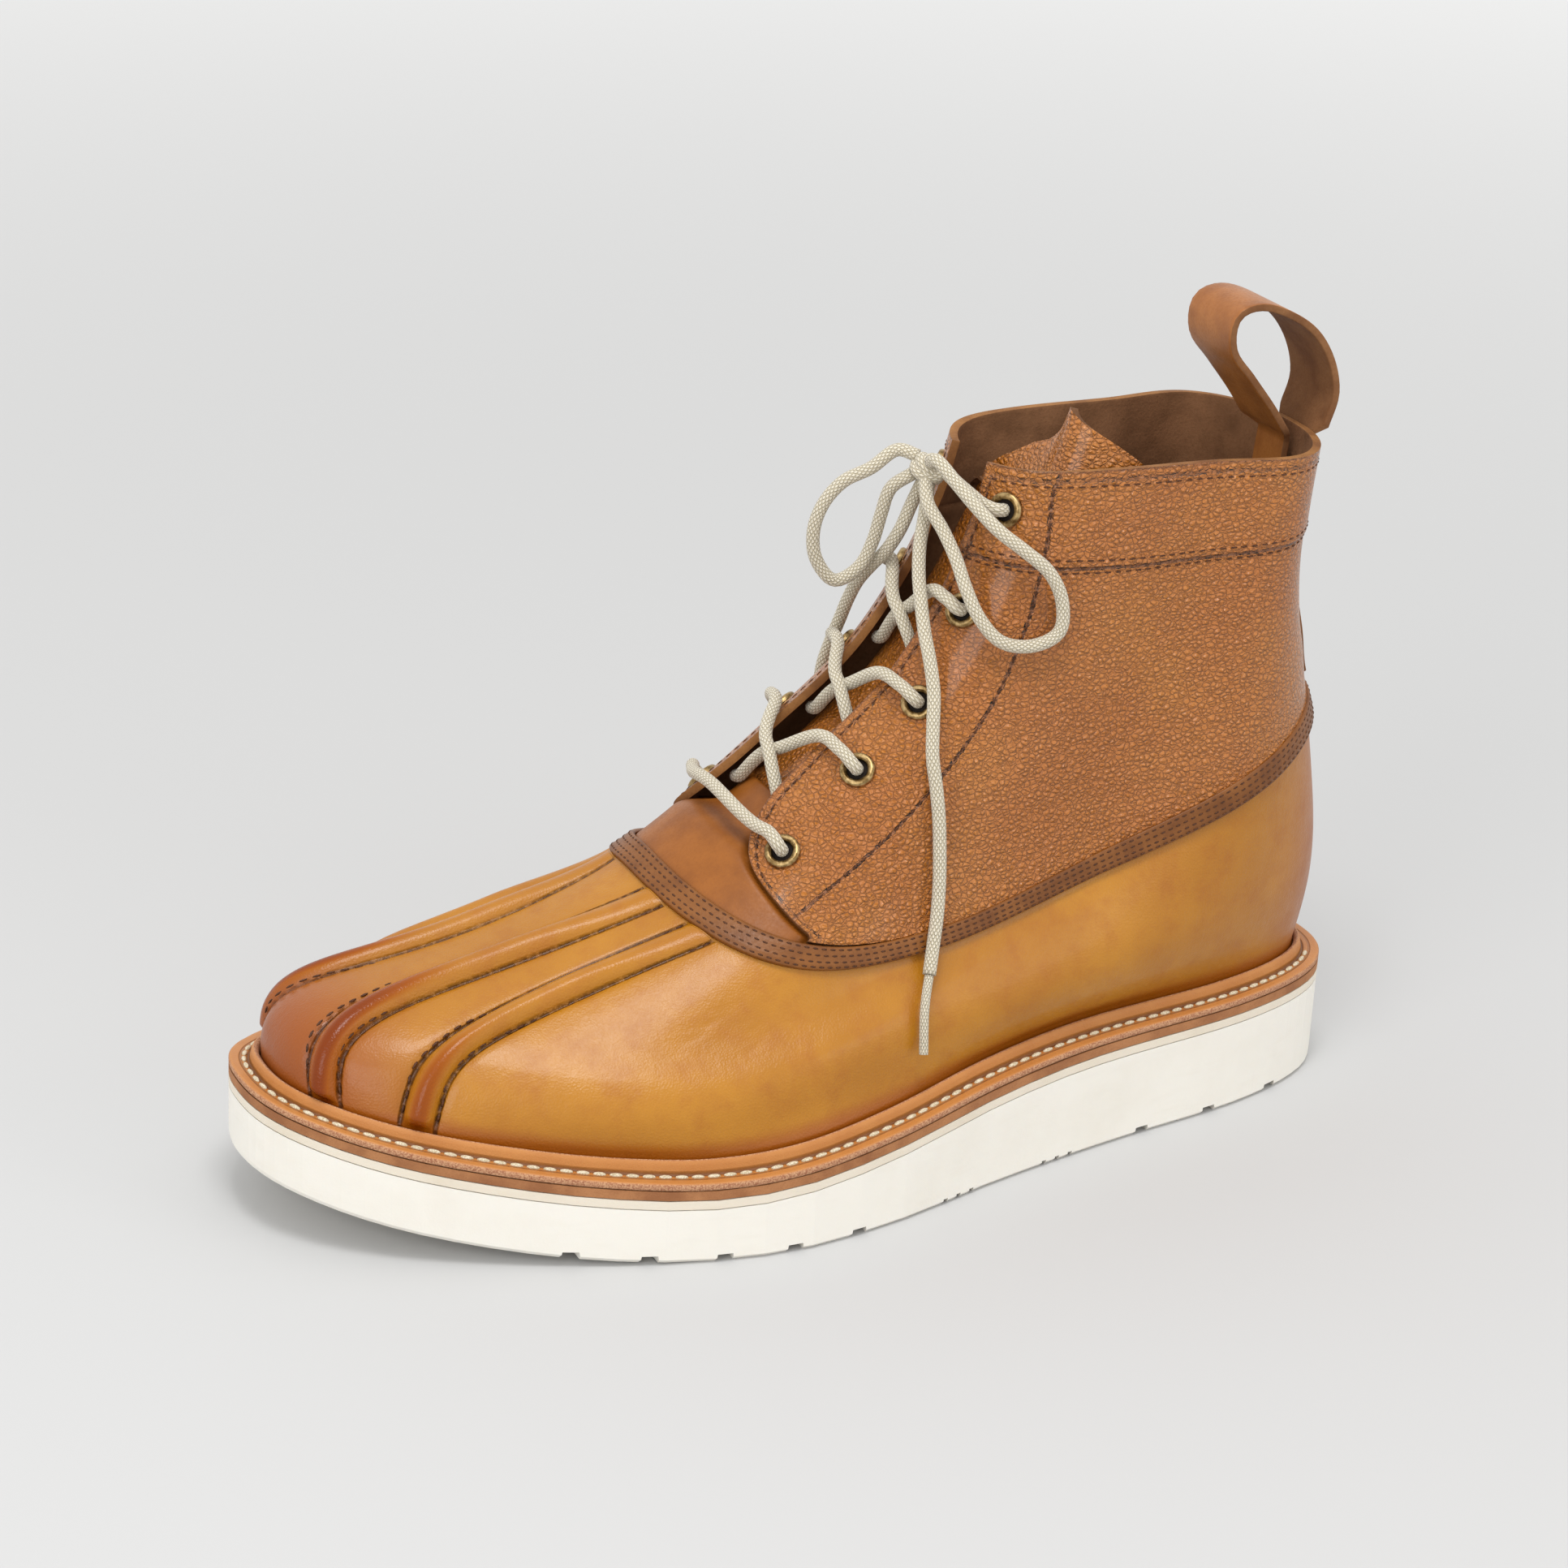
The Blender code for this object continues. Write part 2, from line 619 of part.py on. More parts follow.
# Tongue: row, half width as an angle from the front, depth under the upper's surface at its middle and edge
TONGUE = (
    (7.75, 0.90, 0.0034, 0.0034),
    (8.30, 0.86, 0.0036, 0.0034),
    (8.70, 0.74, 0.0044, 0.0036),
    (9.10, 0.66, 0.0072, 0.0062),
    (9.60, 0.62, 0.0080, 0.0070),
    (10.4, 0.64, 0.0082, 0.0070),
    (11.3, 0.70, 0.0084, 0.0070),
    (12.2, 0.85, 0.0092, 0.0066),
    (13.0, 1.10, 0.0120, 0.0056),
    (14.0, 1.38, 0.0170, 0.0046),
    (14.7, 1.45, 0.0210, 0.0046),
)
TONGUE_COLUMNS = 14
TONGUE_GABLE = 0.62


def tongue_point(row, across):
    """Point of the tongue's outer face and its normal. Across runs from -1 to 1."""
    rows, widths, middles, edges = zip(*TONGUE)
    angle = math.pi - across * float(blend(rows, widths, row))
    middle = float(blend(rows, middles, row))
    edge = float(blend(rows, edges, row))
    depth = edge + (middle - edge) * math.cos(across * math.pi / 2) ** 1.5
    point = last_surface(angle, row)
    normal = last_normal(angle, min(row, LAST_ROW))
    return point - normal * depth, normal


def make_tongue(material, parent):
    rows = [7.75, 8.1, 8.4, 8.7, 8.9, 9.1, 9.4, 9.8, 10.4, 11.0, 11.6, 12.2, 12.7, 13.2, 13.7, 14.2, 14.7]
    outer, inner = [], []
    for i, row in enumerate(rows):
        pairs = []
        for j in range(TONGUE_COLUMNS + 1):
            across = 2 * j / TONGUE_COLUMNS - 1
            drop = TONGUE_GABLE * abs(across) * float(smoothstep(row, 12.7, rows[-1]))
            pairs.append(tongue_point(row - drop, across))
        outer.append([point for point, _ in pairs])
        inner.append([point - normal * TONGUE_THICK for point, normal in pairs])
    bm = bmesh.new()
    sheet(bm, outer, inner)
    return new_object("tongue", bm, material, parent)


def off_surface(angle, row, height):
    """Point at this height over the upper's plain surface."""
    point = last_surface(angle, row)
    return point + last_normal(angle, np.minimum(row, LAST_ROW))[..., :] * np.asarray(height)[..., None]


def eyelet_angle(number, side):
    row, setback = EYELETS[number]
    edge = math.pi - float(throat_angle(row))
    return side * (edge - setback / float(lateral_turn(side * edge, row)))


def step_height(row):
    """How far the leather stands out at this row."""
    return SHELL_STEP + (COLLAR_STEP if row > COLLAR_SEAM_ROW else 0.0)


def make_eyelet(number, side, material, parent):
    """Flanged ring seated on the facing."""
    row = EYELETS[number][0]
    angle = eyelet_angle(number, side)
    normal = last_normal(angle, row)
    centre = last_surface(angle, row) + normal * (step_height(row) + EYELET_SEAT)
    across = np.cross(normal, (0.0, 0.0, 1.0))
    across /= np.linalg.norm(across)
    along = np.cross(normal, across)
    profile = (
        (EYELET_BORE, 0.0),
        (EYELET_BORE, EYELET_LIP),
        (EYELET_RADIUS - EYELET_LIP, EYELET_LIP),
        (EYELET_RADIUS, 0.0),
    )
    bm = bmesh.new()
    loops = []
    for radius, height in profile:
        loop = []
        for i in range(EYELET_SIDES):
            turn = 2 * math.pi * i / EYELET_SIDES
            spoke = across * math.cos(turn) + along * math.sin(turn)
            loop.append(bm.verts.new(centre + spoke * radius + normal * height))
        loops.append(loop)
    for first, second in zip(loops, loops[1:] + loops[:1]):
        bridge(bm, first, second, True)
    name = "lateral" if side > 0 else "medial"
    return new_object(f"eyelet_{name}_{number + 1}", bm, material, parent)


def smooth_path(route):
    """Fine points on a smooth curve through the route."""
    route = np.array(route, float)
    knots = np.arange(len(route))
    fine = np.linspace(0, len(route) - 1, 40 * len(route))
    curve = np.stack([blend(knots, column, fine) for column in route.T], axis=-1)
    return curve


def even_points(points, count):
    """The same line with points at equal distances."""
    lengths = np.concatenate([[0], np.cumsum(np.linalg.norm(np.diff(points, axis=0), axis=1))])
    spots = np.linspace(0, lengths[-1], count)
    return np.stack([np.interp(spots, lengths, column) for column in points.T], axis=-1)


def surface_path(route, count):
    """Route of angle, row and height as points in space."""
    curve = smooth_path(route)
    points = off_surface(curve[:, 0], curve[:, 1], curve[:, 2])
    return even_points(points, count)


def space_path(route, count):
    curve = smooth_path(route)
    return even_points(curve, count)


def add_tube(bm, points, radius, sides):
    """Closed tube along the points with flat ends."""
    directions = np.gradient(points, axis=0)
    directions /= np.linalg.norm(directions, axis=1, keepdims=True)
    side = np.cross(directions[0], (0.3, 0.5, 0.8))
    loops = []
    for point, direction in zip(points, directions):
        side = side - direction * side.dot(direction)
        side /= np.linalg.norm(side)
        other = np.cross(direction, side)
        turns = [2 * math.pi * i / sides for i in range(sides)]
        ring = [point + radius * (side * math.cos(turn) + other * math.sin(turn)) for turn in turns]
        loops.append([bm.verts.new(spot) for spot in ring])
    for first, second in zip(loops, loops[1:]):
        bridge(bm, first, second, True)
    bm.faces.new(loops[0])
    bm.faces.new(loops[-1])


def eyelet_rise(number, side):
    """The start of a strand that stands up out of an eyelet's bore and leans to the throat."""
    row = EYELETS[number][0]
    start = eyelet_angle(number, side)
    lift = step_height(row)
    near = side * (math.pi - float(throat_angle(row)))
    return [
        (start, row, lift + GAP * 2),
        (start + (near - start) * 0.04, row, lift + LACE_CLEAR * 0.88),
        (start + (near - start) * 0.42, row + LACE_LEAN, lift + LACE_CLEAR * 1.05),
        (near, row + LACE_LEAN, lift + LACE_CLEAR * 0.75),
    ]


def crossing_route(number, side):
    """One strand, from the bore of an eyelet over its facing and down under the other facing."""
    row = EYELETS[number][0]
    span = row - EYELETS[number - 1][0]
    tuck_row = row - span * LACE_FALL
    far = side * (math.pi + float(throat_angle(tuck_row)))
    over = LACE_OVER if side < 0 else LACE_UNDER
    return eyelet_rise(number, side) + [
        (side * math.pi, row - span * LACE_FALL * 0.45, over),
        (far, tuck_row, -LACE_TUCK),
        (far + side * LACE_HIDDEN, tuck_row - span * 0.08, -LACE_TUCK),
    ]


def bar_route():
    """The lowest run of the lace, straight across from one lowest eyelet to the other."""
    far = [(2 * math.pi + angle, row, height) for angle, row, height in reversed(eyelet_rise(0, -1))]
    middle = (math.pi, EYELETS[0][0] + LACE_LEAN * 1.6, SHELL_STEP + LACE_CLEAR * 0.8)
    return eyelet_rise(0, 1) + [middle] + far


def make_strand(name, route, count, material, parent):
    bm = bmesh.new()
    add_tube(bm, surface_path(route, count), LACE_RADIUS, LACE_SIDES)
    return new_object(name, bm, material, parent)


def make_crossing(number, material, parent):
    """Two strands that cross in the throat, joined where they touch."""
    first = make_strand(f"lace_cross_{number}", crossing_route(number, 1), LACE_POINTS, material, parent)
    second = make_strand(f"lace_over_{number}", crossing_route(number, -1), LACE_POINTS, material, parent)
    second.hide_render = True
    second.display_type = "WIRE"
    join = first.modifiers.new("other strand", "BOOLEAN")
    join.operation = "UNION"
    join.object = second
    return first


def make_cord(name, points, radius, material, parent):
    """Round cord along the points."""
    curve = bpy.data.curves.new(name, "CURVE")
    curve.dimensions = "3D"
    curve.bevel_depth = radius
    curve.bevel_resolution = 2
    curve.use_fill_caps = True
    curve.render_resolution_u = 0
    spline = curve.splines.new("POLY")
    spline.points.add(len(points) - 1)
    for spot, point in zip(spline.points, points):
        spot.co = (*point, 1.0)
    curve.materials.append(material)
    obj = bpy.data.objects.new(name, curve)
    obj.parent = parent
    bpy.context.scene.collection.objects.link(obj)
    return obj


def top_strand(side):
    """Strand from the bore of a top eyelet to the knot."""
    row = EYELETS[-1][0]
    angle = eyelet_angle(len(EYELETS) - 1, side)
    lift = step_height(row)
    edge = side * (math.pi - float(throat_angle(row)))
    route = (
        (angle, row, lift + GAP * 2),
        (angle + (edge - angle) * 0.04, row, lift + LACE_CLEAR * 0.88),
        (angle + (edge - angle) * 0.45, row + 0.04, lift + LACE_CLEAR * 1.15),
    )
    return [off_surface(*(np.array(value) for value in spot)) for spot in route]


def knot_path():
    """From one top eyelet to the other with one turn round the knot."""
    turns = np.linspace(0, 2 * math.pi, 9)
    coil = []
    for turn in turns:
        along = (turn / (2 * math.pi) - 0.5) * KNOT_WIDTH
        coil.append(
            np.array(KNOT)
            + (KNOT_RADIUS * math.cos(turn), along, KNOT_RADIUS * math.sin(turn))
        )
    return space_path(top_strand(1) + coil + top_strand(-1)[::-1], KNOT_POINTS)


def make_bow(material, tip, parent):
    make_cord("lace_knot", knot_path(), LACE_RADIUS, material, parent)
    loop = space_path(MEDIAL_LOOP, MEDIAL_LOOP_POINTS)
    make_cord("lace_loop_medial", loop, LACE_RADIUS, material, parent)
    start, stop = np.array(LATERAL_LOOP_ENDS)
    turns = [off_surface(math.pi - front, row, height) for front, row, height in LATERAL_LOOP]
    loop = space_path([start, *turns, stop], LATERAL_LOOP_POINTS)
    make_cord("lace_loop_lateral", loop, LACE_RADIUS, material, parent)
    for side, name in ((1, "lateral"), (-1, "medial")):
        spots = [off_surface(side * (math.pi - front), row, height) for front, row, height in LACE_END]
        start = np.array(KNOT) + (LACE_END_START[0], -side * LACE_END_START[1], LACE_END_START[2])
        whole = space_path([start, *spots], WHOLE_END_POINTS)
        cut = int(len(whole) * (1 - TIP_SHARE))
        make_cord(f"lace_end_{name}", even_points(whole[:cut], END_POINTS), LACE_RADIUS, material, parent)
        make_cord(f"lace_tip_{name}", even_points(whole[cut + 1 :], TIP_POINTS), TIP_RADIUS, tip, parent)


def make_pull_loop(material, parent):
    """Strap from inside the collar, over in a loop and down the back as the back stay."""
    back, middle, top = last_surface(0.0, LAST_ROW)
    offsets = np.linspace(-LOOP_WIDTH / 2, LOOP_WIDTH / 2, LOOP_COLUMNS)
    lines = []
    for row, height in LOOP_STAY:
        turn = float(lateral_turn(0.0, row))
        angles = -offsets / turn
        step = SHELL_STEP + (COLLAR_STEP if row > COLLAR_SEAM_ROW else 0.0)
        base = off_surface(angles, np.full_like(angles, row), np.full_like(angles, step + height))
        lines.append((base, last_normal(angles, np.full_like(angles, row))))
    arc = space_path([(back + x, middle, top + z) for x, z in LOOP_ARC], LOOP_POINTS)
    tangent = np.gradient(arc, axis=0)
    for (x, y, z), (dx, _, dz) in zip(arc, tangent):
        size = math.hypot(dx, dz)
        base = np.array([(x, y + offset, z) for offset in offsets])
        lines.append((base, np.tile((dz / size, 0.0, -dx / size), (len(offsets), 1))))
    for row, height in LOOP_INSIDE:
        turn = float(lateral_turn(0.0, row))
        angles = -offsets * 0.94 / turn
        depth = -WALL - height
        base = off_surface(angles, np.full_like(angles, row), np.full_like(angles, depth))
        lines.append((base, -last_normal(angles, np.full_like(angles, row))))
    outer = [base + normal * LOOP_THICK for base, normal in lines]
    inner = [base for base, _ in lines]
    bm = bmesh.new()
    sheet(bm, outer, inner)
    return new_object("pull_loop", bm, material, parent)


def main():
    for obj in list(bpy.data.objects):
        bpy.data.objects.remove(obj, do_unlink=True)
    angles = np.linspace(0, math.pi, 200)
    lateral = float(np.abs(sole_point(angles, 0.0)[1]).max())
    medial = float(np.abs(sole_point(-angles, 0.0)[1]).max())
    boot = bpy.data.objects.new("boot", None)
    boot.location = (0.0, (lateral - medial) / 2, 0.0)
    bpy.context.scene.collection.objects.link(boot)

    white = new_material("white sole", (0.86, 0.83, 0.76), 0.55)
    cream = new_material("cream foam", (0.80, 0.74, 0.62), 0.70)
    raw = new_material("raw leather edge", (0.42, 0.23, 0.13), 0.75)
    shell = new_material("tan leather", (0.50, 0.22, 0.045), 0.38)
    brown = new_material("brown leather", (0.34, 0.13, 0.035), 0.45)
    brass = new_material("antique brass", (0.45, 0.30, 0.13), 0.35, 1.0)
    cotton = new_material("ecru cotton", (0.62, 0.54, 0.40), 0.85)

    make_outsole(white, boot)
    make_plate(
        "foam_midsole", 0.0, lambda x: stack_height(x) - FOAM, lambda x: stack_height(x) - GAP, cream, boot
    )
    make_plate("midsole", 0.0, stack_height, lambda x: stack_height(x) + MIDSOLE, raw, boot)
    make_welt(raw, boot)
    footbed = LEDGE + WALL + INSOLE_MARGIN
    base = MIDSOLE + GAP
    make_plate(
        "insole", footbed, lambda x: stack_height(x) + base, lambda x: stack_height(x) + base + INSOLE, brown, boot
    )
    make_upper(shell, boot)
    make_tongue(brown, boot)
    make_pull_loop(shell, boot)
    for number in range(len(EYELETS)):
        for side in (1, -1):
            make_eyelet(number, side, brass, boot)
    make_strand("lace_bar", bar_route(), LACE_POINTS, cotton, boot)
    for number in range(1, len(EYELETS) - 1):
        make_crossing(number, cotton, boot)
    make_bow(cotton, cotton, boot)


if __name__ == "__main__":
    main()
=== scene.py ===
"""Duck boot, left foot: the finished look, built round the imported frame."""

import logging
import math
from dataclasses import dataclass
from enum import Enum

import bmesh
import bpy
import numpy as np
from mathutils import Matrix, Quaternion, Vector


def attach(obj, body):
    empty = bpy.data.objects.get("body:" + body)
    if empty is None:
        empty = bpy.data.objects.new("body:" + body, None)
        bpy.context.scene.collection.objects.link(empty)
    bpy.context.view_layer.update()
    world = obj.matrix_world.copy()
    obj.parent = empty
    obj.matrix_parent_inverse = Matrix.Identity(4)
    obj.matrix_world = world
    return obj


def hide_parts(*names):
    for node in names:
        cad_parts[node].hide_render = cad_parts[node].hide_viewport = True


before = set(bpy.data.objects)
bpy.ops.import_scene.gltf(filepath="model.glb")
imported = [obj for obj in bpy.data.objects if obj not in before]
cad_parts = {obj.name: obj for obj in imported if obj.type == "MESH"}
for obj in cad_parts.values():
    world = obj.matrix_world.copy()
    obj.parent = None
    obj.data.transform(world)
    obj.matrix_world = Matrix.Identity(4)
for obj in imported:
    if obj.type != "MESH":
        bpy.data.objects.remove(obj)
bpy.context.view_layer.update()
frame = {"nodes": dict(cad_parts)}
LOG = logging.getLogger("duck boot")

# Sizes of the part's source, in metres
LENGTH = 0.312
BALL_WIDTH = 0.120
UPPER_HEIGHT = 0.149
GAP = 0.0003

# Sole heights, along the edge
HEEL_STACK = 0.0277
FORE_STACK = 0.0172
WEDGE_FROM = 0.28
WEDGE_TO = 0.70
TOE_STACK_RISE = 0.0158
TOE_STACK_FROM = 0.62
MIDSOLE = 0.0024
WELT = 0.0022
BEAD_HEIGHT = 0.0036
BEAD_WIDTH = 0.0024
LEDGE = 0.0080

# Leather
WALL = 0.0022
SHELL_STEP = 0.0010
COLLAR_STEP = 0.0006
RIDGE_WIDTH = 0.0080
TONGUE_THICK = 0.0020

# Eyelets and laces
EYELET_BORE = 0.0027
EYELETS = (
    # row, distance from the facing's edge
    (9.07, 0.0110),
    (10.10, 0.0144),
    (10.93, 0.0134),
    (11.97, 0.0095),
    (13.30, 0.0095),
)
LACE_RADIUS = 0.00175

LACE_CLEAR = 0.0039
LACE_OVER = 0.0024
LACE_UNDER = -0.0004
LACE_TUCK = 0.0045
LACE_HIDDEN = 0.10
LACE_LEAN = 0.06
LACE_FALL = 0.60

# Knot and bow: places in space, and turns as angle from the front, row and height over the surface
KNOT = (0.0300, 0.0040, 0.1770)
KNOT_RADIUS = 0.0027
KNOT_WIDTH = 0.0046
MEDIAL_LOOP = (
    (0.0262, 0.0098, 0.1822),
    (0.0190, 0.0120, 0.1765),
    (0.0096, 0.0160, 0.1700),
    (0.0050, 0.0180, 0.1590),
    (0.0073, 0.0180, 0.1476),
    (0.0135, 0.0160, 0.1443),
    (0.0190, 0.0140, 0.1522),
    (0.0214, 0.0110, 0.1662),
    (0.0235, 0.0090, 0.1735),
)
LATERAL_LOOP_ENDS = ((0.0275, -0.0020, 0.1825), (0.0255, -0.0010, 0.1730))
LATERAL_LOOP = (
    (0.480, 13.07, 0.0100),
    (0.820, 12.60, 0.0062),
    (0.986, 12.13, 0.0050),
    (0.986, 11.80, 0.0048),
    (0.803, 11.73, 0.0050),
    (0.654, 11.80, 0.0060),
    (0.489, 12.13, 0.0085),
    (0.288, 12.63, 0.0095),
)
LACE_END_START = (-0.0015, 0.0030, -0.0068)
LACE_END = (
    (0.113, 12.30, 0.0085),
    (0.330, 11.65, 0.0080),
    (0.524, 11.10, 0.0066),
    (0.700, 10.45, 0.0050),
    (0.890, 9.87, 0.0038),
    (1.117, 8.80, 0.0038),
    (1.257, 7.67, 0.0034),
    (1.492, 5.27, 0.0026),
    (1.588, 2.97, 0.0026),
)
TIP_SHARE = 0.14
KNOT_POINTS = 19
MEDIAL_LOOP_POINTS = 13
LATERAL_LOOP_POINTS = 17
END_POINTS = 17
WHOLE_END_POINTS = 400
TIP_RADIUS = 0.0012


# Pull loop
LOOP_WIDTH = 0.022
LOOP_THICK = 0.0020
LOOP_STAY = (
    # row, height over the leather
    (8.75, 0.0003),
    (9.6, 0.0004),
    (10.6, 0.0005),
    (11.6, 0.0004),
    (12.5, 0.0010),
    (12.9, 0.0004),
    (13.9, 0.0004),
)
# Arc of the loop: distance behind the collar's back edge and height over it
LOOP_ARC = (
    (0.0036, 0.0010),
    (0.0058, 0.0100),
    (0.0026, 0.0200),
    (-0.0044, 0.0280),
    (-0.0164, 0.0335),
    (-0.0244, 0.0320),
    (-0.0249, 0.0240),
    (-0.0189, 0.0165),
    (-0.0119, 0.0080),
    (-0.0069, 0.0010),
)
# Inner leg of the loop: its first and last row, and its gap to the lining
LOOP_INSIDE_ROWS = (13.8, 12.7)
LOOP_INSIDE_GAP = 0.0006

# How blunt the ends of a closed curve are: heel and toe, for the sole and the lowest and highest rows
SOLE_ROUND = 0.82
HEEL_ROUND = (0.78, 0.80)
NOSE_ROUND = (0.80, 0.80)

# Sole outline: share of the length from the heel, half widths as shares of the ball width
SOLE_PLAN = (
    # along, lateral, medial
    (0.03, 0.176, 0.180),
    (0.07, 0.240, 0.250),
    (0.13, 0.296, 0.312),
    (0.27, 0.371, 0.313),
    (0.40, 0.458, 0.304),
    (0.51, 0.548, 0.350),
    (0.60, 0.587, 0.400),
    (0.68, 0.568, 0.425),
    (0.76, 0.512, 0.429),
    (0.84, 0.433, 0.396),
    (0.92, 0.329, 0.296),
    (0.97, 0.217, 0.188),
)

# Girth rows of the last above the feather line. A row is a closed curve from the heel to a nose that
# climbs the toe, the vamp and the instep. Ends are shares of the length from the middle, rises and
# dips are shares of the upper's height above the welt, half widths are shares of the ball width.
ROWS = (
    # nose_x, nose_rise, heel_x, heel_rise, dip, ridge, then lateral and medial at heel, waist, ball, nose
    (-0.474, 0.074, 0.483, 0.104, 0.024, 0.000, 0.267, 0.279, 0.429, 0.279, 0.504, 0.375, 0.258, 0.238),
    (-0.464, 0.118, 0.485, 0.158, 0.032, 0.000, 0.275, 0.288, 0.433, 0.288, 0.508, 0.375, 0.242, 0.212),
    (-0.434, 0.158, 0.484, 0.214, 0.045, 0.008, 0.278, 0.292, 0.421, 0.288, 0.492, 0.362, 0.250, 0.225),
    (-0.384, 0.194, 0.482, 0.274, 0.068, 0.017, 0.275, 0.292, 0.392, 0.283, 0.488, 0.342, 0.267, 0.246),
    (-0.314, 0.235, 0.475, 0.338, 0.099, 0.025, 0.272, 0.288, 0.362, 0.279, 0.458, 0.317, 0.292, 0.267),
    (-0.240, 0.290, 0.469, 0.410, 0.136, 0.033, 0.268, 0.283, 0.338, 0.273, 0.417, 0.296, 0.312, 0.283),
    (-0.160, 0.366, 0.460, 0.486, 0.169, 0.042, 0.264, 0.279, 0.300, 0.267, 0.365, 0.279, 0.304, 0.275),
    (-0.090, 0.453, 0.449, 0.552, 0.138, 0.038, 0.258, 0.271, 0.275, 0.258, 0.308, 0.262, 0.246, 0.254),
    (-0.022, 0.552, 0.442, 0.617, 0.108, 0.033, 0.250, 0.258, 0.258, 0.250, 0.275, 0.254, 0.212, 0.233),
    (0.045, 0.656, 0.432, 0.702, 0.073, 0.029, 0.242, 0.252, 0.246, 0.246, 0.250, 0.242, 0.179, 0.217),
    (0.091, 0.779, 0.427, 0.797, 0.034, 0.029, 0.233, 0.246, 0.236, 0.242, 0.233, 0.238, 0.158, 0.204),
    (0.120, 0.904, 0.429, 0.899, 0.011, 0.029, 0.225, 0.242, 0.228, 0.240, 0.221, 0.236, 0.146, 0.196),
    (0.133, 1.002, 0.434, 1.005, -0.007, 0.029, 0.221, 0.242, 0.223, 0.240, 0.212, 0.236, 0.142, 0.192),
)
STATIONS = (0.12, 0.42, 0.70, 0.93)
END_FULLNESS = (0.97, 0.97)
DIP_POWERS = (1.1, 0.8)

# Row numbers of the seams: row 0 is the upper's hidden lower edge, row 1 the feather line
BAND_ROW = 8.0
THROAT_ROW = 8.38
COLLAR_SEAM_ROW = 12.6
LAST_ROW = 14.0

# Angle from the front, on either side, of the facings' edge at each row
THROAT = (
    # row, angle
    (8.38, 0.720),
    (8.60, 0.530),
    (8.80, 0.360),
    (9.00, 0.275),
    (9.30, 0.215),
    (10.0, 0.190),
    (11.0, 0.195),
    (12.0, 0.200),
    (13.0, 0.205),
    (14.0, 0.200),
)

# Vamp seams: angles from the front of the inner and outer pair at each row
RIDGES = (
    # row, inner, outer
    (1.0, 0.330, 0.610),
    (2.8, 0.290, 0.620),
    (4.1, 0.210, 0.560),
    (5.4, 0.125, 0.440),
    (6.5, 0.108, 0.350),
    (7.3, 0.122, 0.335),
    (8.0, 0.165, 0.385),
)

# Creases in the vamp where the ball of the foot bends
VAMP_CREASES = (
    # angle from the front, row, width in angle, height in rows, depth
    (0.800, 6.55, 0.012, 0.75, -0.00040),
    (0.830, 6.50, 0.012, 0.70, 0.00030),
    (0.862, 6.45, 0.012, 0.85, -0.00044),
    (0.895, 6.35, 0.013, 0.75, 0.00028),
    (0.930, 6.25, 0.013, 0.80, -0.00034),
    (0.965, 6.10, 0.014, 0.60, 0.00022),
    (1.000, 6.00, 0.014, 0.70, -0.00030),
    (0.740, 6.80, 0.012, 0.50, -0.00026),
)

# Cross-section of the band
BAND_PROFILE = (
    # share of its height, share of its lift
    (0.0, 0.25),
    (0.02, 0.8),
    (0.06, 1.0),
    (0.3, 1.05),
    (0.5, 0.98),
    (0.7, 1.05),
    (0.94, 1.0),
    (0.98, 0.85),
    (1.0, 0.3),
)

# Seam behind the eyelets
EYESTAY_SEAM = (
    # row, angle from the front
    (8.38, 0.60),
    (9.20, 0.72),
    (9.97, 0.80),
    (10.5, 0.825),
    (11.8, 0.84),
    (13.0, 0.77),
    (13.7, 0.73),
    (14.0, 0.75),
)

# The two turns of lace round the bow's middle
KNOT_WRAPS = (
    # axis, radius of the turn's middle line
    ((-0.10, -0.35, 1.0), 0.0034),
    ((0.70, -0.40, 0.75), 0.0031),
)

# Tongue: row, half width as an angle from the front, depth under the upper's surface at its middle and edge
TONGUE = (
    (7.75, 0.90, 0.0034, 0.0034),
    (8.30, 0.86, 0.0036, 0.0034),
    (8.70, 0.74, 0.0044, 0.0036),
    (9.10, 0.66, 0.0072, 0.0062),
    (9.60, 0.62, 0.0080, 0.0070),
    (10.4, 0.64, 0.0082, 0.0070),
    (11.3, 0.70, 0.0084, 0.0070),
    (12.2, 0.85, 0.0092, 0.0066),
    (13.0, 1.10, 0.0120, 0.0056),
    (14.0, 1.38, 0.0170, 0.0046),
    (14.7, 1.45, 0.0210, 0.0046),
)

# Steps in angle and row over which a direction of the surface is read
NORMAL_STEP = 0.04
TURN_STEP = 0.02
ROW_STEP = 0.15

# Size of the ring inside a tube's flat end, as a share of its radius
CAP_SHARE = 0.75

Numbers = float | tuple | list | np.ndarray
Socket = bpy.types.NodeSocket
Material = bpy.types.Material
Object = bpy.types.Object


def smoothstep(value: Numbers, low: float, high: float) -> np.ndarray:
    """Soft step from nought to one.

    Args:
        value: what is read.
        low: where the step starts.
        high: where it ends.
    Returns:
        The step's height.
    """
    share = np.clip((np.asarray(value, float) - low) / (high - low), 0, 1)
    return share * share * (3 - 2 * share)


def blend(knots: Numbers, values: Numbers, at: Numbers) -> np.ndarray:
    """Smooth curve through the values at the knots, with slopes from the neighbours.

    Args:
        knots: where the values stand, rising.
        values: the values.
        at: where the curve is read.
    Returns:
        The curve's height.
    """
    knots = np.asarray(knots, float)
    values = np.asarray(values, float)
    at = np.clip(np.asarray(at, float), knots[0], knots[-1])
    slopes = np.gradient(values, knots, axis=0)
    i = np.clip(np.searchsorted(knots, at, side="right") - 1, 0, len(knots) - 2)
    step = knots[i + 1] - knots[i]
    a, b, c, d = hermite((at - knots[i]) / step)
    return a * values[i] + b * step * slopes[i] + c * values[i + 1] + d * step * slopes[i + 1]


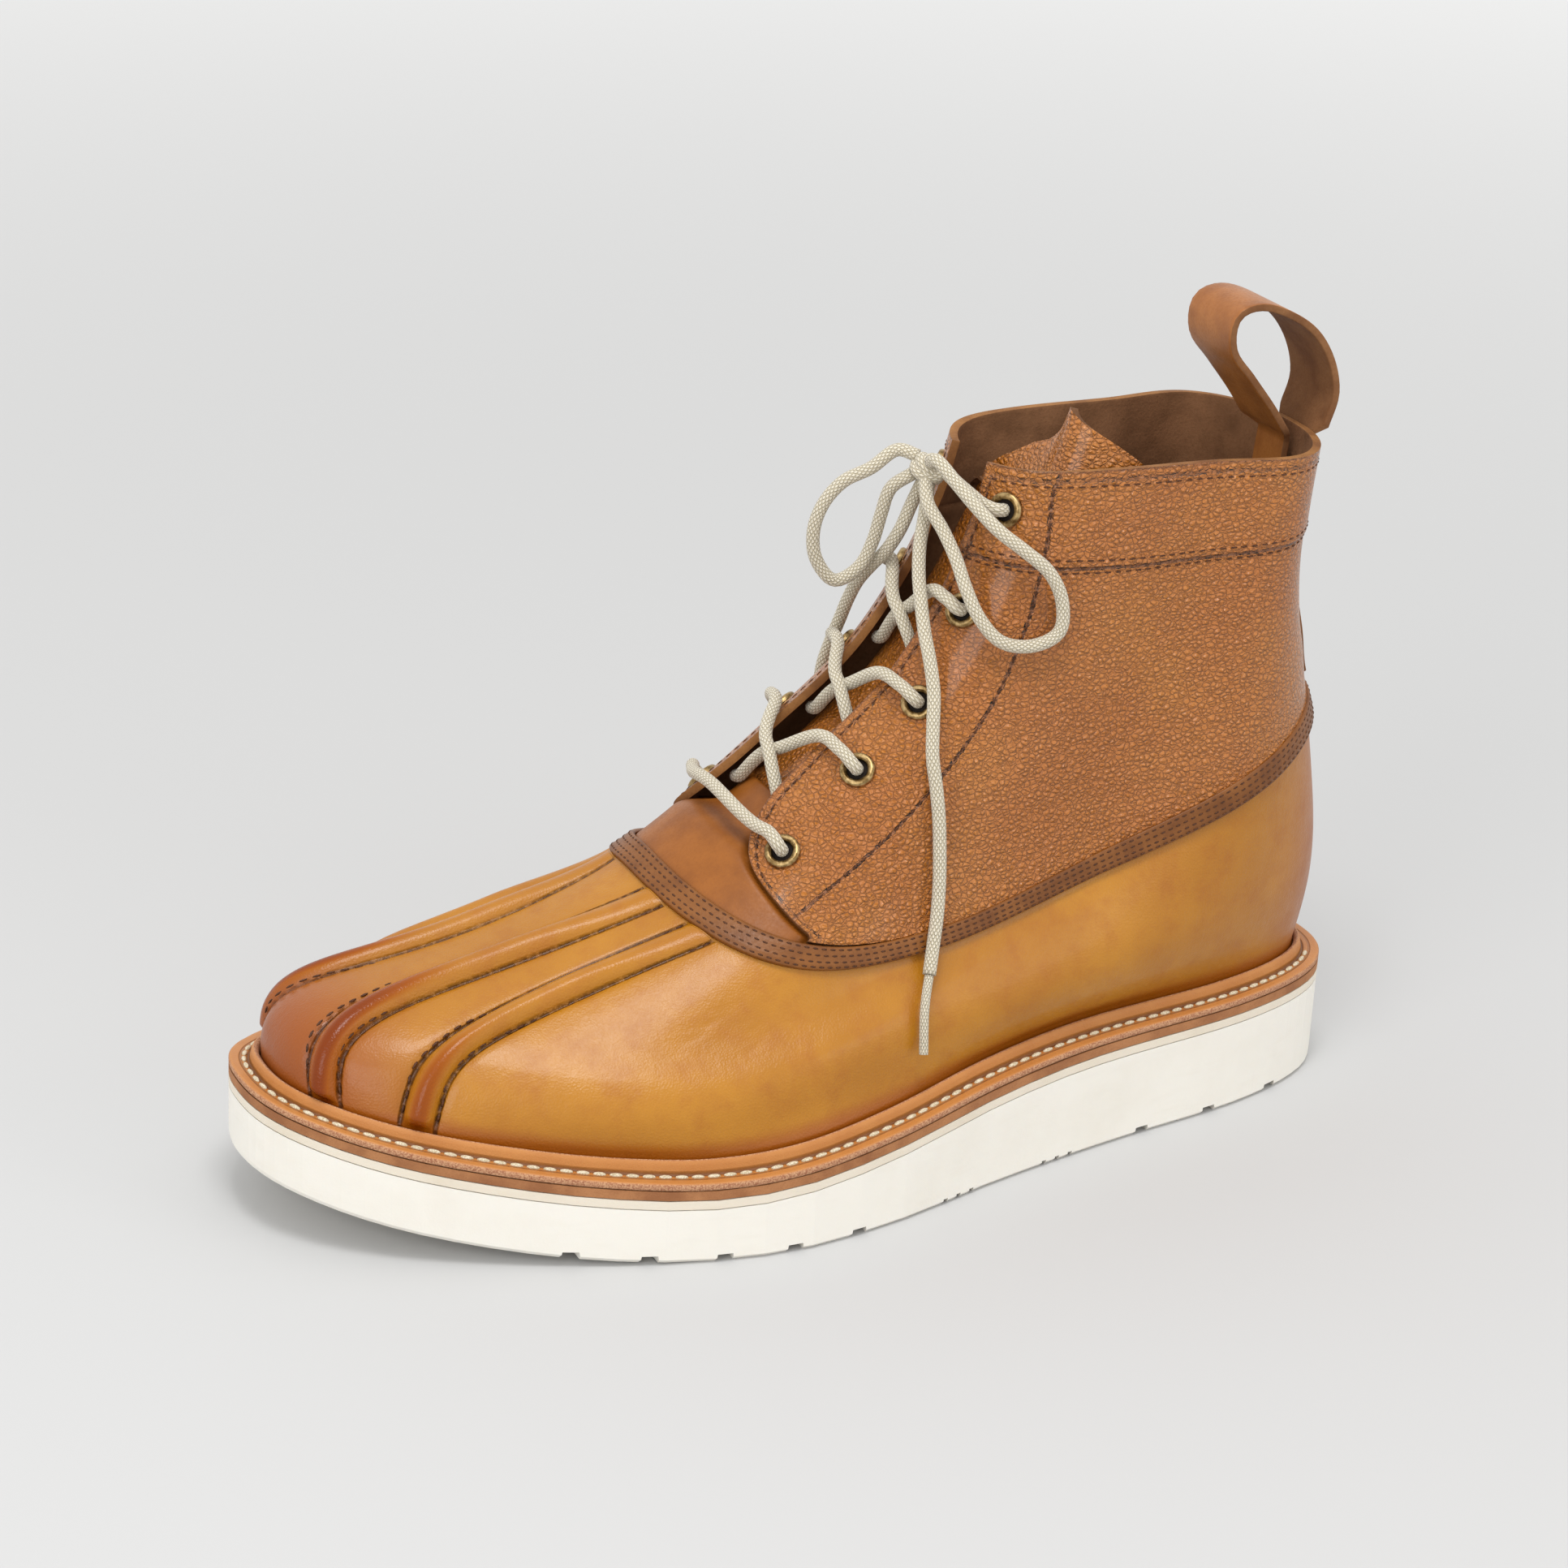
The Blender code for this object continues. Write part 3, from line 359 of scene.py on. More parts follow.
def hermite(f: np.ndarray) -> tuple:
    """Weights of a cubic: first value, first slope, second value, second slope.

    Args:
        f: share of the way from the first to the second.
    Returns:
        The four weights.
    """
    return (1 + 2 * f) * (1 - f) ** 2, f * (1 - f) ** 2, f * f * (3 - 2 * f), f * f * (f - 1)


def angle_of(share: Numbers) -> np.ndarray:
    """Angle from the heel at which a closed curve reaches this share of its length."""
    return np.arccos(1 - 2 * np.asarray(share, float))


def stack_height(x: np.ndarray) -> np.ndarray:
    """Height of the leather's lower edge above the floor.

    Args:
        x: place along the sole.
    Returns:
        Height in metres.
    """
    share = np.clip((LENGTH / 2 - x) / LENGTH, 0, 1)
    wedge = HEEL_STACK + (FORE_STACK - HEEL_STACK) * smoothstep(share, WEDGE_FROM, WEDGE_TO)
    toe = np.clip((share - TOE_STACK_FROM) / (1 - TOE_STACK_FROM), 0, 1)
    return wedge + TOE_STACK_RISE * toe**2


def welt_top(x: np.ndarray) -> np.ndarray:
    """Height of the welt's ledge above the floor."""
    return stack_height(x) + MIDSOLE + WELT


def sole_point(angle: np.ndarray, inset: float) -> tuple:
    """Place on the sole's outline. Positive angles are the lateral side.

    Args:
        angle: angle from the heel.
        inset: how far it is moved in.
    Returns:
        x and y.
    """
    turn = np.abs(angle)
    lateral_side = np.asarray(angle) >= 0
    along, lateral, medial = (np.array(column) for column in zip(*SOLE_PLAN))
    round_off = np.sin(angle_of(along)) ** SOLE_ROUND
    wide = np.where(
        lateral_side,
        blend(angle_of(along), lateral * BALL_WIDTH / round_off, turn),
        blend(angle_of(along), medial * BALL_WIDTH / round_off, turn),
    )
    x = (LENGTH / 2 - inset) * np.cos(turn)
    y = (wide - inset) * np.maximum(np.sin(turn), 0) ** SOLE_ROUND
    return x, np.where(lateral_side, -y, y)


def feather_row(angle: np.ndarray, height: float) -> np.ndarray:
    """A row that follows the welt's inner edge.

    Args:
        angle: angle from the heel.
        height: height over the leather's lower edge.
    Returns:
        Points.
    """
    x, y = sole_point(angle, LEDGE)
    return np.stack([x, y, stack_height(x) + height], axis=-1)


def girth_row(number: int, angle: np.ndarray) -> np.ndarray:
    """One row of the table as points.

    Args:
        number: which row.
        angle: angle from the heel.
    Returns:
        Points.
    """
    row = ROWS[number]
    nose_x, nose_rise, heel_x, heel_rise, dip, ridge = row[:6]
    lateral = np.array(row[6::2]) * BALL_WIDTH
    medial = np.array(row[7::2]) * BALL_WIDTH
    up = number / (len(ROWS) - 1)
    heel_power = HEEL_ROUND[0] + (HEEL_ROUND[1] - HEEL_ROUND[0]) * up
    nose_power = NOSE_ROUND[0] + (NOSE_ROUND[1] - NOSE_ROUND[0]) * up
    turn = np.abs(angle)
    share = (1 - np.cos(turn)) / 2
    stations = angle_of(STATIONS)
    power = np.where(stations < math.pi / 2, heel_power, nose_power)
    full = (lateral + medial) / 2 / np.sin(stations) ** power
    full = np.concatenate([[full[0] * END_FULLNESS[0]], full, [full[-1] * END_FULLNESS[1]]])
    middle = (medial - lateral) / 2
    middle = np.concatenate([[middle[0]], middle, [ridge * BALL_WIDTH]])
    knots = np.concatenate([[0], stations, [math.pi]])
    round_off = np.maximum(np.sin(turn), 0) ** np.where(turn < math.pi / 2, heel_power, nose_power)
    out = blend(knots, full, turn) * round_off
    x = LENGTH * (heel_x + (nose_x - heel_x) * share)
    y = blend(knots, middle, turn) + np.where(np.asarray(angle) >= 0, -out, out)
    peak = DIP_POWERS[0] / sum(DIP_POWERS)
    most = peak ** DIP_POWERS[0] * (1 - peak) ** DIP_POWERS[1]
    hump = share ** DIP_POWERS[0] * (1 - share) ** DIP_POWERS[1] / most
    rise = heel_rise + (nose_rise - heel_rise) * share - dip * hump
    return np.stack([x, y, welt_top(x) + UPPER_HEIGHT * rise], axis=-1)


def last_surface(angle: Numbers, row: Numbers) -> np.ndarray:
    """The upper's plain outer surface. Angle 0 is the heel, pi the front; lateral is positive.

    Args:
        angle: angle from the heel.
        row: row number, which may lie between two rows.
    Returns:
        Points.
    """
    angle, row = np.broadcast_arrays(np.asarray(angle, float), np.asarray(row, float))
    angle = (angle + math.pi) % (2 * math.pi) - math.pi
    rows = [feather_row(angle, MIDSOLE + GAP), feather_row(angle, MIDSOLE + WELT + BEAD_HEIGHT)]
    rows += [girth_row(number, angle) for number in range(len(ROWS))]
    rows = np.array(rows)
    slopes = np.gradient(rows, axis=0)
    slopes[0] = slopes[1] = rows[1] - rows[0]
    i = np.clip(row.astype(int), 0, len(rows) - 2)
    f = (row - i)[..., None]
    pick = np.arange(angle.size).reshape(angle.shape)

    def at(table: np.ndarray, index: np.ndarray) -> np.ndarray:
        """Each angle's own entry of a table of rows."""
        flat = table.reshape(len(rows), -1, 3)
        return flat[index.ravel(), pick.ravel()].reshape(angle.shape + (3,))

    a, b, c, d = hermite(np.clip(f, 0, 1))
    inside = a * at(rows, i) + b * at(slopes, i) + c * at(rows, i + 1) + d * at(slopes, i + 1)
    return inside + np.maximum(f - 1, 0) * at(slopes, i + 1)


def last_normal(angle: np.ndarray, row: np.ndarray) -> np.ndarray:
    """Unit normal of the surface, pointing out of the boot.

    Args:
        angle: angle from the heel.
        row: row number.
    Returns:
        Normals.
    """
    around = last_surface(angle + NORMAL_STEP, row) - last_surface(angle - NORMAL_STEP, row)
    up = last_surface(angle, row + NORMAL_STEP) - last_surface(angle, np.maximum(row - NORMAL_STEP, 0))
    normal = np.cross(up, around)
    return normal / np.linalg.norm(normal, axis=-1, keepdims=True)


def lateral_turn(angle: np.ndarray, row: np.ndarray) -> np.ndarray:
    """Metres of surface for each radian of angle.

    Args:
        angle: angle from the heel.
        row: row number.
    Returns:
        Metres a radian.
    """
    chord = last_surface(angle + TURN_STEP, row) - last_surface(angle - TURN_STEP, row)
    return np.linalg.norm(chord, axis=-1) / (2 * TURN_STEP)


def ridge_angle(ridge: int, row: Numbers) -> np.ndarray:
    """Angle from the front of a vamp seam's middle.

    Args:
        ridge: 0 is the inner pair, 1 the outer.
        row: row number.
    Returns:
        The angle.
    """
    table = list(zip(*RIDGES))
    return blend(table[0], table[ridge + 1], row)


def throat_angle(row: Numbers) -> np.ndarray:
    """Angle from the front of the facings' edge."""
    rows, angles = zip(*THROAT)
    return blend(rows, angles, row)


def off_surface(angle: np.ndarray, row: np.ndarray, height: np.ndarray) -> np.ndarray:
    """Point at a height over the upper's plain surface.

    Args:
        angle: angle from the heel.
        row: row number.
        height: in metres.
    Returns:
        Points.
    """
    point = last_surface(angle, row)
    return point + last_normal(angle, np.minimum(row, LAST_ROW))[..., :] * np.asarray(height)[..., None]


def eyelet_angle(number: int, side: int) -> float:
    """Angle from the heel of an eyelet's middle.

    Args:
        number: its place in the table.
        side: 1 lateral, -1 medial.
    Returns:
        The angle.
    """
    row, setback = EYELETS[number]
    edge = math.pi - float(throat_angle(row))
    return side * (edge - setback / float(lateral_turn(side * edge, row)))


def step_height(row: float) -> float:
    """How far the leather stands out at this row."""
    return SHELL_STEP + (COLLAR_STEP if row > COLLAR_SEAM_ROW else 0.0)


def line_steps(points: np.ndarray) -> np.ndarray:
    """Length of a line up to each of its points."""
    return np.concatenate([[0], np.cumsum(np.linalg.norm(np.diff(points, axis=0), axis=1))])


def smooth_path(route: Numbers) -> np.ndarray:
    """Fine points on a smooth curve through the route.

    Args:
        route: its places.
    Returns:
        Points.
    """
    route = np.array(route, float)
    fine = np.linspace(0, len(route) - 1, 40 * len(route))
    return np.stack([blend(np.arange(len(route)), column, fine) for column in route.T], axis=-1)


def even_points(points: np.ndarray, count: int) -> np.ndarray:
    """The same line with points at equal distances.

    Args:
        points: the line.
        count: how many points.
    Returns:
        Points.
    """
    lengths = line_steps(points)
    spots = np.linspace(0, lengths[-1], count)
    return np.stack([np.interp(spots, lengths, column) for column in points.T], axis=-1)


def surface_path(route: Numbers, count: int) -> np.ndarray:
    """Route of angle, row and height as points in space.

    Args:
        route: its places.
        count: how many points.
    Returns:
        Points.
    """
    curve = smooth_path(route)
    return even_points(off_surface(curve[:, 0], curve[:, 1], curve[:, 2]), count)


def space_path(route: Numbers, count: int) -> np.ndarray:
    """Smooth line through places in space, with points at equal distances."""
    return even_points(smooth_path(route), count)


def eyelet_rise(number: int, side: int) -> list:
    """The start of a strand that stands up out of an eyelet's bore and leans to the throat.

    Args:
        number: the eyelet's place in the table.
        side: 1 lateral, -1 medial.
    Returns:
        Angles, rows and heights.
    """
    row = EYELETS[number][0]
    start = eyelet_angle(number, side)
    lift = step_height(row)
    near = side * (math.pi - float(throat_angle(row)))
    return [
        (start, row, lift + GAP * 2),
        (start + (near - start) * 0.04, row, lift + LACE_CLEAR * 0.88),
        (start + (near - start) * 0.42, row + LACE_LEAN, lift + LACE_CLEAR * 1.05),
        (near, row + LACE_LEAN, lift + LACE_CLEAR * 0.75),
    ]


def crossing_route(number: int, side: int) -> list:
    """One strand, from the bore of an eyelet over its facing and down under the other facing.

    Args:
        number: the eyelet's place in the table.
        side: 1 lateral, -1 medial.
    Returns:
        Angles, rows and heights.
    """
    row = EYELETS[number][0]
    span = row - EYELETS[number - 1][0]
    tuck_row = row - span * LACE_FALL
    far = side * (math.pi + float(throat_angle(tuck_row)))
    over = LACE_OVER if side < 0 else LACE_UNDER
    return eyelet_rise(number, side) + [
        (side * math.pi, row - span * LACE_FALL * 0.45, over),
        (far, tuck_row, -LACE_TUCK),
        (far + side * LACE_HIDDEN, tuck_row - span * 0.08, -LACE_TUCK),
    ]


def bar_route() -> list:
    """The lowest run of the lace, straight across from one lowest eyelet to the other."""
    far = [(2 * math.pi + angle, row, height) for angle, row, height in reversed(eyelet_rise(0, -1))]
    middle = (math.pi, EYELETS[0][0] + LACE_LEAN * 1.6, SHELL_STEP + LACE_CLEAR * 0.8)
    return eyelet_rise(0, 1) + [middle] + far


def top_strand(side: int) -> list:
    """Strand from the bore of a top eyelet towards the knot.

    Args:
        side: 1 lateral, -1 medial.
    Returns:
        Points.
    """
    row = EYELETS[-1][0]
    angle = eyelet_angle(len(EYELETS) - 1, side)
    lift = step_height(row)
    edge = side * (math.pi - float(throat_angle(row)))
    route = (
        (angle, row, lift + GAP * 2),
        (angle + (edge - angle) * 0.04, row, lift + LACE_CLEAR * 0.88),
        (angle + (edge - angle) * 0.45, row + 0.04, lift + LACE_CLEAR * 1.15),
    )
    return [off_surface(*(np.array(value) for value in spot)) for spot in route]


def knot_path() -> np.ndarray:
    """From one top eyelet to the other with one turn round the knot.

    Returns:
        Points.
    """
    coil = []
    for turn in np.linspace(0, 2 * math.pi, 9):
        along = (turn / (2 * math.pi) - 0.5) * KNOT_WIDTH
        coil.append(np.array(KNOT) + (KNOT_RADIUS * math.cos(turn), along, KNOT_RADIUS * math.sin(turn)))
    return space_path(top_strand(1) + coil + top_strand(-1)[::-1], KNOT_POINTS)


def linear(code: str) -> tuple:
    """Turns an sRGB hex code into linear RGBA.

    Args:
        code: six hex digits.
    Returns:
        Red, green, blue and alpha, linear.
    """
    parts = [int(code[i : i + 2], 16) / 255 for i in (0, 2, 4)]
    return tuple(c / 12.92 if c <= 0.04045 else ((c + 0.055) / 1.055) ** 2.4 for c in parts) + (1.0,)


class Graph:
    """Node tree of one material, built one node at a time."""

    def __init__(self, name: str) -> None:
        """Starts a material with its shader.

        Args:
            name: the real material's name.
        """
        self.material = bpy.data.materials.new(name)
        self.material.use_nodes = True
        self.tree = self.material.node_tree
        self.shader = self.tree.nodes["Principled BSDF"]

    def add(self, kind: str, inputs: dict, **settings: object) -> bpy.types.Node:
        """Adds a node with its settings and links.

        Args:
            kind: the node's type.
            inputs: socket names or numbers to values or output sockets.
            settings: the node's own settings.
        Returns:
            The node.
        """
        made = self.tree.nodes.new(kind)
        for key, value in settings.items():
            setattr(made, key, value)
        for key, value in inputs.items():
            self.put(made.inputs[key], value)
        return made

    def put(self, socket: Socket, value: object) -> None:
        """Links or sets one socket.

        Args:
            socket: the socket.
            value: an output socket or a plain value.
        """
        if isinstance(value, Socket):
            self.tree.links.new(value, socket)
        else:
            socket.default_value = value

    def math(self, operation: str, a: object, b: object = 0.0) -> Socket:
        """One sum or comparison.

        Args:
            operation: the Math node's operation.
            a: first value.
            b: second value.
        Returns:
            The result's socket.
        """
        return self.add("ShaderNodeMath", {0: a, 1: b}, operation=operation).outputs[0]

    def spread(self, value: object, low: float, high: float, to_low: float, to_high: float) -> Socket:
        """Moves a value smoothly from one range to another.

        Args:
            value: what is read.
            low: start of its range.
            high: end of its range.
            to_low: result at the start.
            to_high: result at the end.
        Returns:
            The result's socket.
        """
        inputs = {0: value, 1: low, 2: high, 3: to_low, 4: to_high}
        return self.add("ShaderNodeMapRange", inputs, interpolation_type="SMOOTHSTEP").outputs[0]

    def line(self, distance: object, place: float, half: float, soft: float) -> Socket:
        """A line at a distance, one on it and nought off it.

        Args:
            distance: distance in millimetres.
            place: where the line lies.
            half: half its width.
            soft: how wide its soft edge is.
        Returns:
            The mask's socket.
        """
        off = self.math("ABSOLUTE", self.math("SUBTRACT", distance, place))
        return self.spread(off, half, half + soft, 1.0, 0.0)

    def mix(self, share: object, first: object, second: object) -> Socket:
        """Blends two colours.

        Args:
            share: how much of the second.
            first: colour at nought.
            second: colour at one.
        Returns:
            The colour's socket.
        """
        return self.add("ShaderNodeMix", {0: share, 6: first, 7: second}, data_type="RGBA").outputs[2]

    def reading(self, name: str) -> Socket:
        """Reads a piece's own number.

        Args:
            name: the attribute.
        Returns:
            Its value.
        """
        return self.add("ShaderNodeAttribute", {}, attribute_name=name).outputs["Fac"]

    def place(self, stretch: tuple = (1.0, 1.0, 1.0)) -> Socket:
        """Object coordinates in millimetres.

        Args:
            stretch: extra scale along each axis.
        Returns:
            The vector's socket.
        """
        spot = self.add("ShaderNodeTexCoord", {}).outputs["Object"]
        scale = tuple(1000.0 * s for s in stretch)
        return self.add("ShaderNodeVectorMath", {0: spot, 1: scale}, operation="MULTIPLY").outputs[0]

    def noise(self, size: float, detail: float = 3.0, where: Socket = None, rough: float = 0.5) -> Socket:
        """Cloudy noise with features of this size.

        Args:
            size: feature size in millimetres.
            detail: octaves.
            where: coordinates in millimetres.
            rough: how strong the fine octaves are.
        Returns:
            The noise, about 0.5 in the middle.
        """
        inputs = {"Vector": where or self.place(), "Scale": 1.0 / size, "Detail": detail, "Roughness": rough}
        return self.add("ShaderNodeTexNoise", inputs).outputs[0]

    def cells(self, size: float, where: Socket = None, feature: str = "F1", smooth: float = 0.0) -> Socket:
        """Cell pattern with cells of this size.

        Args:
            size: cell size in millimetres.
            where: coordinates in millimetres.
            feature: which distance is read.
            smooth: how soft the cells' edges are.
        Returns:
            The distance's socket.
        """
        inputs = {"Vector": where or self.place(), "Scale": 1.0 / size}
        if feature == "SMOOTH_F1":
            inputs["Smoothness"] = smooth
        return self.add("ShaderNodeTexVoronoi", inputs, feature=feature).outputs[0]

    def bump(self, height: object, depth: float, under: object = None) -> Socket:
        """Relief of this depth.

        Args:
            height: height from nought to one.
            depth: depth in millimetres.
            under: a normal it lies over.
        Returns:
            The normal's socket.
        """
        inputs = {"Height": height, "Strength": 1.0, "Distance": depth / 1000}
        if under is not None:
            inputs["Normal"] = under
        return self.add("ShaderNodeBump", inputs).outputs[0]

    def finish(self, colour: object, rough: object, normal: Socket = None, **sockets: object) -> Material:
        """Sets the shader.

        Args:
            colour: base colour.
            rough: roughness.
            normal: bumped normal.
            sockets: other sockets by name, with _ for a space.
        Returns:
            The material.
        """
        self.put(self.shader.inputs["Base Color"], colour)
        self.put(self.shader.inputs["Roughness"], rough)
        if normal is not None:
            self.put(self.shader.inputs["Normal"], normal)
        for key, value in sockets.items():
            self.put(self.shader.inputs[key.replace("_", " ")], value)
        return self.material


@dataclass(frozen=True)
class SmoothLeather:
    """Burnished tan calf of the lower shell: even, waxed, darker where it is rubbed, with painted shade in
    the troughs beside the seams.
    """

    name: str = "burnished tan calf"
    base: str = "AA6D0D"
    light: str = "B67916"
    rub: str = "974D06"
    dark: str = "742C02"
    # Colour of the painted shade in the troughs beside the vamp seams.
    painted_shade: str = "45240F"
    coat: float = 0.16
    coat_rough: float = 0.15
    shine: float = 0.42
    ridge_shine: float = 0.16

    def build(self) -> Material:
        """Makes the material.

        Returns:
            The material.
        """
        g = Graph(self.name)
        ridge = g.reading("ridge_mm")
        foot = g.reading("foot_mm")
        end = g.reading("end_mm")
        clouds = g.noise(38.0, 4.0, rough=0.55)
        fine = g.noise(1.1, 3.0)
        stain = g.noise(9.0, 5.0, rough=0.65)
        colour = g.mix(g.spread(clouds, 0.35, 0.68, 0.0, 1.0), linear(self.base), linear(self.light))
        colour = g.mix(g.spread(stain, 0.42, 0.75, 0.0, 0.35), colour, linear(self.rub))
        # Painted shade: a dark, ragged line along the trough beside each vamp seam, also dented by a bump.
        groove = g.line(ridge, RIDGE_WIDTH * 500 + 0.45, 0.12, 0.75)
        ragged = g.math("MULTIPLY", groove, g.spread(g.noise(1.6, 2.0), 0.3, 0.6, 0.55, 1.0))
        top = g.spread(ridge, 0.4, 4.3, 0.95, 0.0)
        toe = g.spread(end, 20.0, 62.0, 1.0, 0.16)
        burn = g.math("MULTIPLY", top, toe)
        rim = g.spread(foot, 0.0, 6.0, 0.45, 0.0)
        nose = g.spread(end, 0.0, 58.0, 0.62, 0.0)
        shade = g.math("MAXIMUM", g.math("MAXIMUM", burn, rim), nose)
        colour = g.mix(g.spread(shade, 0.0, 0.6, 0.0, 1.0), colour, linear(self.rub))
        colour = g.mix(g.spread(shade, 0.35, 1.0, 0.0, 0.85), colour, linear(self.dark))
        # Lays the painted shade of the seam troughs over the colour.
        colour = g.mix(g.math("MULTIPLY", ragged, 0.88), colour, linear(self.painted_shade))
        pores = g.cells(0.55, feature="SMOOTH_F1", smooth=0.4)
        crease = g.noise(5.0, 4.0, g.place((1.0, 1.0, 0.22)), 0.6)
        normal = g.bump(pores, 0.07)
        normal = g.bump(g.spread(crease, 0.42, 0.6, 0.0, 1.0), 0.04, normal)
        normal = g.bump(g.math("SUBTRACT", 1.0, ragged), 0.7, normal)
        wear = g.math("ADD", g.math("MULTIPLY", stain, 0.6), g.math("MULTIPLY", fine, 0.4))
        rough = g.spread(wear, 0.3, 0.7, 0.33, 0.46)
        rough = g.math("MULTIPLY", rough, g.spread(burn, 0.0, 0.6, 1.0, 0.62))
        shine = g.spread(burn, 0.0, 0.5, self.shine, self.ridge_shine)
        coat = {"Coat_Weight": self.coat, "Coat_Roughness": self.coat_rough}
        return g.finish(colour, rough, normal, Specular_IOR_Level=shine, **coat)


@dataclass(frozen=True)
class GrainLeather:
    """Milled shaft leather: tight long pebbles with shiny tops and painted shade in the valleys."""

    name: str = "pebbled brown cowhide"
    base: str = "B96C16"
    light: str = "C37820"
    # Colour of the painted shade in the grain's valleys.
    low: str = "7A3A08"
    # Colour of the darker band along the cut edges, and of the painted shade in the seam grooves.
    cut: str = "54290F"
    pebble: float = 1.75
    relief: float = 1.25
    shine: float = 0.6
    coat: float = 0.42
    coat_rough: float = 0.15
    seams: bool = True

    def build(self) -> Material:
        """Makes the material.

        Returns:
            The material.
        """
        g = Graph(self.name)
        where = g.place((1.0, 1.0, 1.35))
        bend = g.add("ShaderNodeTexNoise", {"Vector": where, "Scale": 0.30, "Detail": 2.0}).outputs[1]
        sway = {0: bend, 1: (1.5, 1.5, 1.5), 2: where}
        warped = g.add("ShaderNodeVectorMath", sway, operation="MULTIPLY_ADD").outputs[0]
        dome = g.spread(g.cells(self.pebble, warped, "SMOOTH_F1", 0.25), 0.0, 0.62, 1.0, 0.0)
        edge = g.spread(g.cells(self.pebble, warped, "DISTANCE_TO_EDGE"), 0.0, 0.13, 0.0, 1.0)
        small = g.spread(g.cells(self.pebble * 0.5, warped, "SMOOTH_F1", 0.3), 0.0, 0.6, 1.0, 0.0)
        patch = g.spread(g.noise(13.0, 2.0), 0.40, 0.62, 0.25, 1.0)
        hill = g.math("ADD", g.math("MULTIPLY", dome, 0.62), g.math("MULTIPLY", edge, 0.38))
        grain = g.math("ADD", g.math("MULTIPLY", hill, 0.82), g.math("MULTIPLY", small, 0.18))
        clouds = g.noise(34.0, 4.0, rough=0.6)
        colour = g.mix(g.spread(clouds, 0.35, 0.68, 0.0, 1.0), linear(self.base), linear(self.light))
        # Painted shade: darker where the grain's relief is low.
        colour = g.mix(g.math("MULTIPLY", g.math("SUBTRACT", 1.0, grain), 0.38), colour, linear(self.low))
        normal = g.bump(grain, self.relief)
        normal = g.bump(g.math("MULTIPLY", g.noise(0.9, 3.0), patch), 0.10, normal)
        if self.seams:
            edge, seam, stay = g.reading("edge_mm"), g.reading("seam_mm"), g.reading("stay_mm")
            cut = g.spread(edge, 0.0, 1.0, 0.85, 0.0)
            dent = g.math("MAXIMUM", g.line(seam, 0.0, 0.15, 0.55), g.line(stay, 0.0, 0.1, 0.7))
            dent = g.math("MAXIMUM", dent, g.math("MULTIPLY", g.line(edge, 2.6, 0.1, 0.8), 0.6))
            # Darker along the cut edges, with painted shade in the dented seam grooves.
            edge_tone_and_seam_shade = g.math("MULTIPLY", g.math("MAXIMUM", cut, dent), 0.7)
            colour = g.mix(edge_tone_and_seam_shade, colour, linear(self.cut))
            normal = g.bump(g.math("SUBTRACT", 1.0, dent), 0.5, normal)
        rough = g.spread(hill, 0.1, 0.95, 0.55, 0.27)
        coat = {"Coat_Weight": self.coat, "Coat_Roughness": self.coat_rough}
        return g.finish(colour, rough, normal, Specular_IOR_Level=self.shine, **coat)


@dataclass(frozen=True)
class PlainLeather:
    """Soft leather or suede in one tone with faint mottling and fine pores."""

    name: str
    base: str
    dark: str
    rough: float
    depth: float = 0.05
    grain: float = 0.8

    def build(self) -> Material:
        """Makes the material.

        Returns:
            The material.
        """
        g = Graph(self.name)
        clouds = g.noise(14.0, 5.0, rough=0.6)
        fine = g.noise(self.grain, 3.0, rough=0.6)
        colour = g.mix(g.spread(clouds, 0.35, 0.7, 0.0, 1.0), linear(self.base), linear(self.dark))
        colour = g.mix(g.spread(fine, 0.45, 0.75, 0.0, 0.35), colour, linear(self.dark))
        normal = g.bump(fine, self.depth)
        rough = g.spread(fine, 0.3, 0.7, self.rough - 0.06, self.rough + 0.06)
        return g.finish(colour, rough, normal, Specular_IOR_Level=0.35)


@dataclass(frozen=True)
class WeltLeather:
    """Waxed orange-tan welt with a raw, speckled flesh edge on the bead and the outer rim, and painted shade
    in the crease at the bead's foot and in the stitch groove.
    """

    name: str = "waxed storm welt"
    wax: tuple = ("C98A4A", "B06C30")
    flesh: tuple = ("9A6244", "C99A74")
    # Colours of the painted shade in the crease at the bead's foot and in the stitch groove.
    crease: str = "5A2F14"
    groove: str = "7A4520"

    def build(self) -> Material:
        """Makes the material.

        Returns:
            The material.
        """
        g = Graph(self.name)
        across = g.reading("across")
        rim, bead = g.spread(across, 0.10, 0.14, 1.0, 0.0), g.spread(across, 0.80, 0.86, 0.0, 1.0)
        raw = g.math("MAXIMUM", rim, bead)
        clouds = g.noise(12.0, 4.0, rough=0.6)
        speckle = g.noise(0.45, 3.0, rough=0.7)
        smooth = g.mix(clouds, linear(self.wax[0]), linear(self.wax[1]))
        flesh = g.mix(g.spread(speckle, 0.38, 0.62, 0.0, 1.0), linear(self.flesh[0]), linear(self.flesh[1]))
        colour = g.mix(raw, smooth, flesh)
        # Painted shade: dark lines in the crease at the bead's foot and in the stitch groove, both also
        # dented by a bump.
        crease = g.line(across, 0.60, 0.012, 0.05)
        colour = g.mix(g.math("MULTIPLY", crease, 0.75), colour, linear(self.crease))
        groove = g.line(across, 0.30, 0.012, 0.03)
        colour = g.mix(g.math("MULTIPLY", groove, 0.45), colour, linear(self.groove))
        normal = g.bump(speckle, 0.12)
        normal = g.bump(g.math("SUBTRACT", 1.0, g.math("MAXIMUM", groove, crease)), 0.35, normal)
        rough = g.math("ADD", g.math("MULTIPLY", raw, 0.3), 0.42)
        return g.finish(colour, rough, normal, Specular_IOR_Level=0.4)


